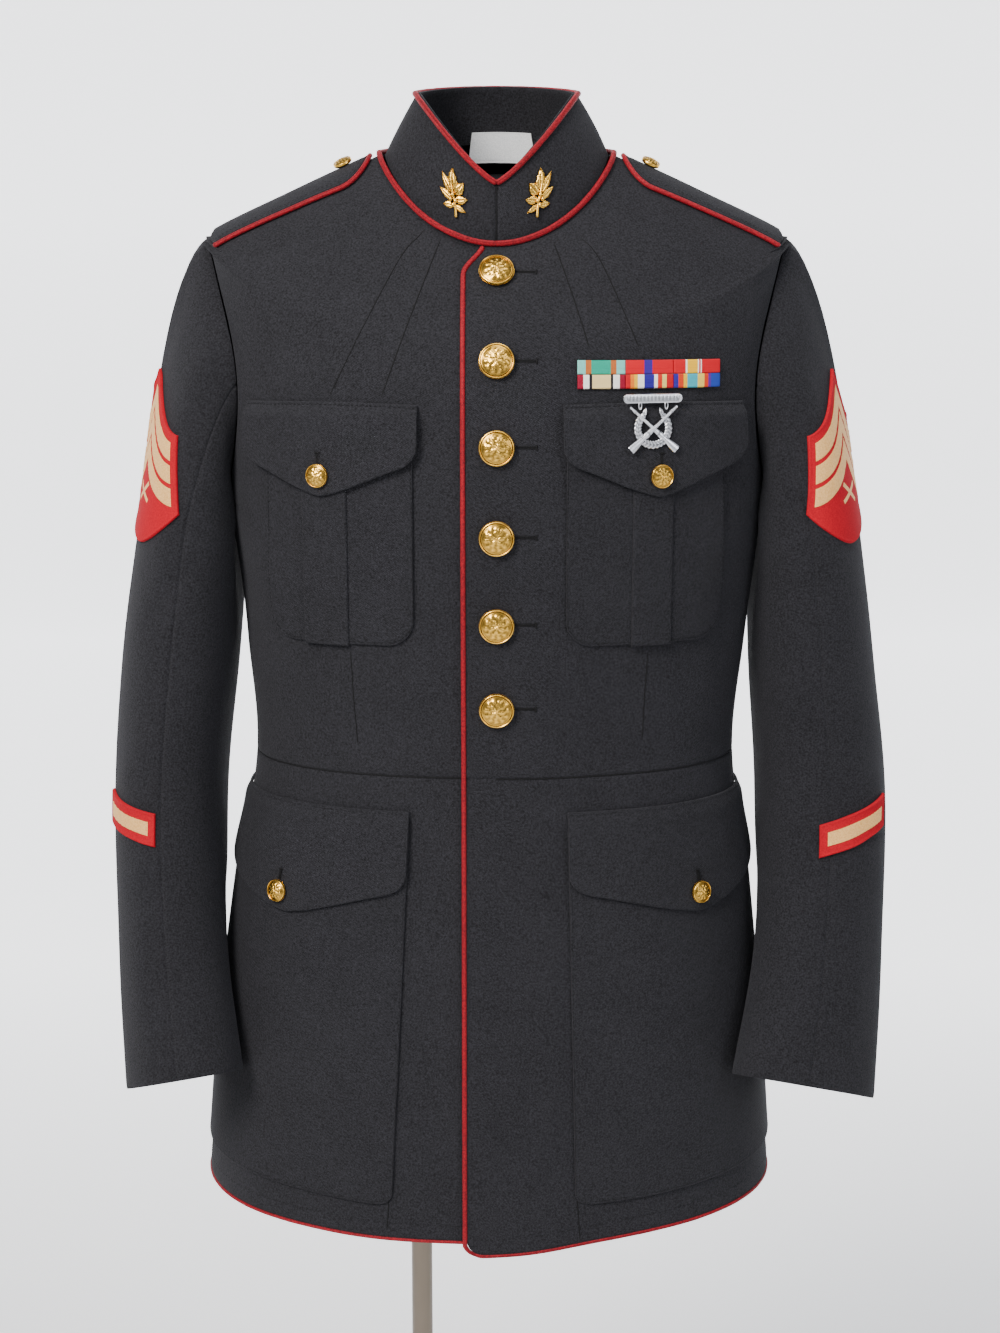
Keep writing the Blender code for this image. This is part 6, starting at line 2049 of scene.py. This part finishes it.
    def badge_bar(self, place: Placing, bar_up: float) -> bpy.types.Object:
        """The bar that the badge hangs from, with a row of plain beads."""
        length, width = self.badge_bar_size
        u, v = np.linspace(-1, 1, 121)[:, None], np.linspace(-1, 1, 15)[None, :]
        a = u * length / 2
        past = np.clip((np.abs(a) - (length - width) / 2) / (width / 2), 0.0, 1.0)
        half = width / 2 * np.sqrt(np.maximum(1 - past**2, 0.0025))
        b = bar_up + half * v
        beads = (0.5 + 0.5 * np.cos(2 * math.pi * a / 0.0028)) * bell(half * v, 0.0014)
        beads = beads * (np.abs(a) < length / 2 - 0.003)
        inside = np.minimum((1 - np.abs(v)) * half, length / 2 - np.abs(a)) / 0.0008
        rise = 0.0010 + 0.0006 * np.sqrt(1 - (1 - np.clip(inside, 0, 1)) ** 2) + 0.0005 * beads
        a = a + 0 * b
        piece = slab("badge_bar", self.shop.finishes["silver"], place(a, b, rise), place(a, b, 0 * rise))
        # Painted shade: darker between the beads and on the flat inside the rounded rim
        return mark_hollows(piece, np.clip(0.55 - beads, 0, 1) * (inside > 1.2))

    def rifle(self, place: Placing, sign: int) -> bpy.types.Object:
        """A plain rifle, muzzle up. The one that rises towards the side lies on top."""
        length = self.rifle_length
        where = np.array((0.0, 0.4, 4.0, 4.6, 6.0, 6.6, 20.0, 26.0, 31.0, 33.0, 36.5, 41.0, 46.4, 47.0))
        where = where / 47.0 * length
        half = np.array((0.5, 1.0, 1.0, 1.5, 1.5, 1.1, 1.3, 1.7, 2.3, 1.7, 1.9, 2.7, 3.2, 2.9)) / 1000
        along = length * edged(60, length)[:, None]
        s = np.linspace(-1, 1, 11)[None, :]
        reach = np.interp(along, where, half)
        lift = 0.0021 if sign > 0 else 0.0011
        rise = lift + 0.0013 * np.sqrt(1 - 0.95 * s**2)
        groove = bell(along, 0.0004, 0.0290) + bell(along, 0.0003, 0.0062)
        rise = rise - 0.0004 * groove
        c, d = math.cos(self.rifle_angle) * sign, math.sin(self.rifle_angle)
        a = c * (length / 2 - along) - d * sign * reach * s * sign
        b = d * (length / 2 - along) + c * reach * s
        under = place(a, b, np.full_like(rise, lift - 0.0008))
        piece = slab("rifle", self.shop.finishes["silver"], place(a, b, rise), under)
        # Painted shade: darker in the grooves and along the edges
        return mark_hollows(piece, groove + 0.4 * (np.abs(s) > 0.85))

    def label(self) -> None:
        """A bare woven label, stitched on along its four edges."""
        collar = self.shop.collar
        left, right = self.label_reach
        low, high = self.label_height
        psi = math.pi - (left + (right - left) * edged(30, 0.042)[None, :]) / self.collar_span[0]
        h = low + (high - low) * edged(16, 0.024)[:, None]
        psi, h = psi + 0 * h, h + 0 * psi
        lift = -COLLAR_WALL - PATCH_LIFT - 0.0003 * np.sin(5 * psi) * np.cos(7 * h)
        distance = edge_distance(collar.base(psi, h))
        dent = 0.0002 * bell(distance, 0.0005, 0.0016)
        outer, inner = collar.at(psi, h, lift - 0.0009 + dent), collar.at(psi, h, lift)
        self.shop.cloth(
            "neck_label_cloth", outer, inner, slot="label_cloth", finish="label", rests_on=["collar_cloth"],
        )
        rim = collar.at(psi, h, lift - 0.0010)
        for line in (rim[5, 5:-5], rim[-6, 5:-5], rim[5:-5, 5], rim[5:-5, -6]):
            self.shop.sew("label_stitches", line, LABEL_STITCH, Lie.ALONG)


@dataclass
class Tailoring:
    """Narrow tucks, darts and seams, drawn as fine raised folds in the dark thread finish, which paints the
    shade along them.
    """

    shop: Workshop

    def build(self) -> None:
        """Draws the collar's meeting line, and each side's folds and waist seam, as dark lines of painted
        shade.
        """
        coat = self.shop.coat
        h = np.linspace(0.06, 0.93, 40)
        # A dark line of painted shade where the collar's two edges meet
        meeting = self.shop.collar.at(0 * h, h, -0.0001)
        thread = self.shop.finishes["thread"]
        self.shop.finish_piece(tube("collar_meeting", thread, meeting, 0.0004, 8), "wool")
        for side in Side:
            folds = [self.fold(coat, x, z) for owner, x, z in FRONT_FOLDS if owner is side]
            edge = LAP_EDGE if side is Side.LEFT else UNDER_EDGE
            start = float(side.value * coat.angle_of(edge, float(WAIST)))
            phi = side.value * np.linspace(start, math.pi, 160)
            waist = np.full(160, float(WAIST))
            lift = over_lap(coat.base(phi, waist)[:, 0], -0.0006)
            seam = coat.at(phi, waist, lift * (np.cos(phi) > 0) - 0.0006 * (np.cos(phi) <= 0))
            # The waist seam, drawn as a sunk dark line of painted shade
            folds.append(tube("waist", thread, seam, 0.0005, 8))
            self.shop.finish_piece(join(f"tucks_{side.label}", folds), "wool")

    def fold(self, coat: CoatBody, x: tuple[float, float], z: tuple[float, float]) -> bpy.types.Object:
        """A fine fold from one place on the front to another, sunk at both ends, in a dark finish that paints
        the shade along it.
        """
        share = np.linspace(0, 1, 60)
        xs = x[0] + (x[1] - x[0]) * share
        zs = z[0] + (z[1] - z[0]) * share + 0.0015 * np.sin(math.pi * share)
        phi, t = coat.front_place(xs, zs)
        ends = smoothstep(np.minimum(share, 1 - share) / 0.08)
        path = coat.at(phi, t, over_lap(xs, -0.00012) - 0.0004 * (1 - ends))
        return tube("fold", self.shop.finishes["thread"], path, 0.00050, 8)


@dataclass
class Threads:
    """Stitches, set along the seams by one Geometry Nodes group."""

    shop: Workshop

    def group(self) -> bpy.types.NodeTree:
        """Builds the group: one small ellipsoid at each point, turned along the point's lie."""
        tree = bpy.data.node_groups.new("Stitch run", "GeometryNodeTree")
        interface = tree.interface
        interface.new_socket("Geometry", in_out="INPUT", socket_type="NodeSocketGeometry")
        for label, kind, default in (
            ("Radius", "NodeSocketFloat", 0.0003), ("Length", "NodeSocketFloat", 0.0022),
            ("Seed", "NodeSocketInt", 5),
        ):
            interface.new_socket(label, in_out="INPUT", socket_type=kind).default_value = default
        interface.new_socket("Material", in_out="INPUT", socket_type="NodeSocketMaterial")
        interface.new_socket("Geometry", in_out="OUTPUT", socket_type="NodeSocketGeometry")
        nodes = Nodes(tree)
        entry = nodes.add("NodeGroupInput").node.outputs
        ball = nodes.add("GeometryNodeMeshUVSphere", {"Segments": 6, "Rings": 4, "Radius": 1.0}, out="Mesh")
        lie = nodes.add(
            "GeometryNodeInputNamedAttribute", {"Name": "lie"}, out="Attribute", data_type="FLOAT_VECTOR",
        )
        turn = nodes.add("FunctionNodeAlignRotationToVector", {"Vector": lie}, out="Rotation", axis="Z")
        limits = {"Min": 0.82, "Max": 1.12, "Seed": entry["Seed"]}
        vary = nodes.add("FunctionNodeRandomValue", limits, out="Value", data_type="FLOAT")
        half = nodes.add("Math/MULTIPLY", entry["Length"], 0.5)
        size = nodes.add("CombineXYZ", entry["Radius"], entry["Radius"], half)
        scale = nodes.add("VectorMath/SCALE", {0: size, "Scale": vary})
        place = nodes.add("GeometryNodeInstanceOnPoints", {
            "Points": entry["Geometry"], "Instance": ball, "Rotation": turn, "Scale": scale,
        })
        real = nodes.add("GeometryNodeRealizeInstances", place)
        paint = nodes.add("GeometryNodeSetMaterial", {"Geometry": real, "Material": entry["Material"]})
        nodes.add("NodeGroupOutput", paint)
        return tree

    def build(self) -> None:
        """Makes one mesh from each group of stitches."""
        tree = self.group()
        socket = {item.name: item.identifier for item in tree.interface.items_tree if item.in_out == "INPUT"}
        for number, (name, runs) in enumerate(self.shop.threads.items()):
            places = np.concatenate([run[0] for run in runs])
            lies = np.concatenate([run[1] for run in runs])
            cloud = bpy.data.meshes.new(f"{name}_places")
            cloud.from_pydata(places.tolist(), [], [])
            lie = cloud.attributes.new("lie", "FLOAT_VECTOR", "POINT")
            lie.data.foreach_set("vector", lies.astype(np.float32).ravel())
            thing = bpy.data.objects.new(name, cloud)
            bpy.context.scene.collection.objects.link(thing)
            modifier = thing.modifiers.new("Stitch run", "NODES")
            modifier.node_group = tree
            radius, length = STITCH_SIZES.get(name, STITCH_SIZES["other"])
            modifier[socket["Radius"]], modifier[socket["Length"]] = radius, length
            modifier[socket["Seed"]] = 11 + number
            finish = "label" if name == "label_stitches" else "thread"
            modifier[socket["Material"]] = self.shop.finishes[finish]
            depsgraph = bpy.context.evaluated_depsgraph_get()
            baked = bpy.data.meshes.new_from_object(thing.evaluated_get(depsgraph), depsgraph=depsgraph)
            thing.modifiers.remove(modifier)
            thing.data = baked
            baked.name = name
            baked.shade_smooth()
            self.shop.finish_piece(thing, "wool")


@dataclass
class Stand:
    """The dress form under the coat, its pole and its base."""

    shop: Workshop
    form_bottom: float = 0.7800
    form_ease: tuple[float, ...] = (0.0105, 0.0027)
    form_top_ring: float = NECK - 0.62
    pole_x: float = -0.0618
    pole_radius: float = 0.0085
    base_radius: float = 0.1500
    base_height: float = 0.0080

    def build(self) -> None:
        """Makes the form, the pole and the base."""
        self.form()
        steel = self.shop.finishes["steel"]
        middle = np.array((self.pole_x, 0.0, 0.0))
        top, foot, radius = self.form_bottom - GAP, self.base_height + GAP, self.pole_radius
        pole = [(0.0, foot), (radius - 0.0004, foot), (radius, foot + 0.0006), (radius, top), (0.0, top)]
        self.turned("stand_pole", steel, pole, middle, 48)
        arc = np.linspace(0, math.pi / 2, 8)
        radius, height = self.base_radius, self.base_height
        edge = [(radius - 0.003 + 0.003 * math.cos(a), height - 0.003 + 0.003 * math.sin(a)) for a in arc]
        base = [(0.0, 0.0), (radius - 0.001, 0.0), (radius, 0.001), *edge, (0.0, height)]
        self.turned("stand_base", steel, base, middle, 128)

    def turned(
        self, name: str, material: bpy.types.Material, profile: list[tuple[float, float]],
        middle: Array, around: int,
    ) -> None:
        """A piece turned round an upright line.

        Args:
            name: the node that it stands for.
            material: its finish.
            profile: radius and height of each ring. The first and the last lie on the line.
            middle: a place on the line.
            around: points of each ring.
        """
        q = circle(around)
        rings = [
            middle + np.stack([r * np.cos(q), r * np.sin(q), np.full(around, z)], axis=-1)
            for r, z in profile[1:-1]
        ]
        points = np.concatenate([*rings, [middle + (0, 0, profile[0][1])], [middle + (0, 0, profile[-1][1])]])
        faces = closed_rings(len(rings), around)
        piece = face_out(add_mesh(f"{name}_metal", material, points, faces, sharp=35.0))
        self.shop.finish_piece(mark_hollows(piece, 0.0), "stand_steel", name)

    def form(self) -> None:
        """A smooth torso without limbs, covered in dark jersey."""
        coat = self.shop.coat
        foot = float(coat.ring_of(np.array(0.0), np.array(self.form_bottom)))
        below, above = np.linspace(foot, CHEST, 40)[:-1], np.linspace(CHEST, self.form_top_ring, 30)
        rings = np.concatenate([below, above])[:, None]
        around = 120
        phi = circle(around)[None, :]
        deep, close = self.form_ease
        at_shoulder = smoothstep((rings - CHEST - 0.5) / 1.4) * np.abs(np.sin(phi)) ** 8
        lift = (deep - close) * at_shoulder - deep
        base = coat.base(phi, rings)
        points = base + coat.normal(phi + 0 * rings, rings + 0 * phi) * lift[..., None]
        points[0, :, 2] = self.form_bottom
        caps = [points[0].mean(axis=0), points[-1].mean(axis=0) + (0.0, 0.0, 0.004)]
        count = len(rings)
        girth = np.broadcast_to(phi * 0.15, (count, around))
        uv = np.stack([girth, np.broadcast_to(base[..., 2], (count, around))], axis=-1).reshape(-1, 2)
        uv = np.concatenate([uv, [[0.0, 0.0], [0.0, 0.0]]])
        points = np.concatenate([points.reshape(-1, 3), caps])
        faces = closed_rings(count, around)
        piece = face_out(add_mesh("dress_form_jersey", self.shop.finishes["jersey"], points, faces, uv=uv))
        self.shop.finish_piece(piece, "form_jersey", "dress_form")


@dataclass(frozen=True)
class Lamp:
    """A soft area light: where it hangs, what it points at, its size and power."""

    name: str
    place: tuple[float, float, float]
    target: tuple[float, float, float]
    size: float
    power: float
    colour: str = "#ffffff"


# Strength of the painted glow of the floor and backdrop, far behind the coat
BACKDROP_GLOW = 1.70
# The photograph's lens and height in its own pixels, and the camera's place and tilt
LENS_PIXELS, PICTURE_PIXELS = 2212, 1333
CAMERA_PLACE = (0.0025, -1.70, 1.38)
CAMERA_TILT = math.radians(79.1)
SENSOR_HEIGHT, SENSOR_WIDTH = 36.0, 27.0
# The floor's front edge, where its curve starts, the curve's radius, the backdrop's top, half width
FLOOR_FRONT, FLOOR_END, CURVE, BACKDROP_TOP, FLOOR_HALF = -9.0, 6.0, 1.5, 9.0, 14.0

LAMPS = (
    Lamp("key", (-1.4, -2.0, 2.8), (0.0, 0.0, 1.35), 1.2, 128.0, "#fffaf4"),
    Lamp("fill", (2.3, -2.4, 2.1), (0.0, 0.0, 1.20), 1.6, 30.0, "#fbfbff"),
    Lamp("top", (0.3, -0.7, 3.2), (0.0, 0.0, 1.2), 1.4, 22.0),
)


def build_stage() -> None:
    """A plain pale floor that curves up into a backdrop with a painted glow, soft lights and the camera."""
    nodes = Finish("paper")
    place = nodes.add("TexCoord", out="Object")
    cloud = nodes.add("TexNoise", {"Vector": place, "Scale": 1.5, "Detail": 2.0})
    # Painted light: the floor and backdrop glow, not at all near the coat and more the farther back they lie
    away = nodes.add("SeparateXYZ", place).node.outputs[1]
    away = nodes.add("Math/MULTIPLY_ADD", away, 0.5, -0.2)
    glow = nodes.add("Math/MINIMUM", nodes.add("Math/MAXIMUM", away, 0.0), 1.0)
    colours = {0: cloud, 6: linear("#f6f7f9"), 7: linear("#fdfdfe")}
    nodes.shade(
        Base_Color=nodes.add("Mix", colours, out=2, data_type="RGBA"), Roughness=0.9,
        Emission_Strength=nodes.add("Math/MULTIPLY", glow, BACKDROP_GLOW), Emission_Color=linear("#fbfcff"),
    )
    arc = np.linspace(0, math.pi / 2, 24)
    curve = [(FLOOR_END + CURVE * math.sin(a), CURVE - CURVE * math.cos(a)) for a in arc]
    profile = [(FLOOR_FRONT, 0.0), *curve, (FLOOR_END + CURVE, BACKDROP_TOP)]
    points = np.array([[(x, y, z) for x in (-FLOOR_HALF, FLOOR_HALF)] for y, z in profile])
    floor = add_mesh("floor", nodes.material, points, grid_quads(len(profile), 2))
    world = bpy.data.worlds.new("studio")
    world.use_nodes = True
    back = world.node_tree.nodes["Background"]
    back.inputs["Color"].default_value = linear("#f4f6fa")
    back.inputs["Strength"].default_value = 0.42
    bpy.context.scene.world = world
    for lamp in LAMPS:
        data = bpy.data.lights.new(lamp.name, "AREA")
        data.shape, data.size = "DISK", lamp.size
        data.energy, data.color = lamp.power, linear(lamp.colour)[:3]
        thing = bpy.data.objects.new(lamp.name, data)
        thing.location = lamp.place
        aim = Vector(lamp.target) - Vector(lamp.place)
        thing.rotation_euler = aim.to_track_quat("-Z", "Y").to_euler()
        bpy.context.scene.collection.objects.link(thing)
    data = bpy.data.cameras.new("camera")
    data.sensor_fit, data.sensor_height, data.sensor_width = "VERTICAL", SENSOR_HEIGHT, SENSOR_WIDTH
    data.lens = LENS_PIXELS / PICTURE_PIXELS * SENSOR_HEIGHT
    camera = bpy.data.objects.new("camera", data)
    camera.location = CAMERA_PLACE
    camera.rotation_euler = Euler((CAMERA_TILT, 0.0, 0.0))
    bpy.context.scene.collection.objects.link(camera)
    bpy.context.scene.camera = camera


def main() -> None:
    """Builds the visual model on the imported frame."""
    logging.basicConfig(level=logging.INFO, format="%(levelname)s %(message)s")
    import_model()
    shop = Workshop()
    for part in (Panels, Cords, Pockets, Straps, Buttons, Insignia, Tailoring, Threads, Stand):
        LOG.info("building %s", part.__name__)
        part(shop).build()
    build_stage()
    bpy.context.view_layer.update()


if __name__ == "__main__":
    main()
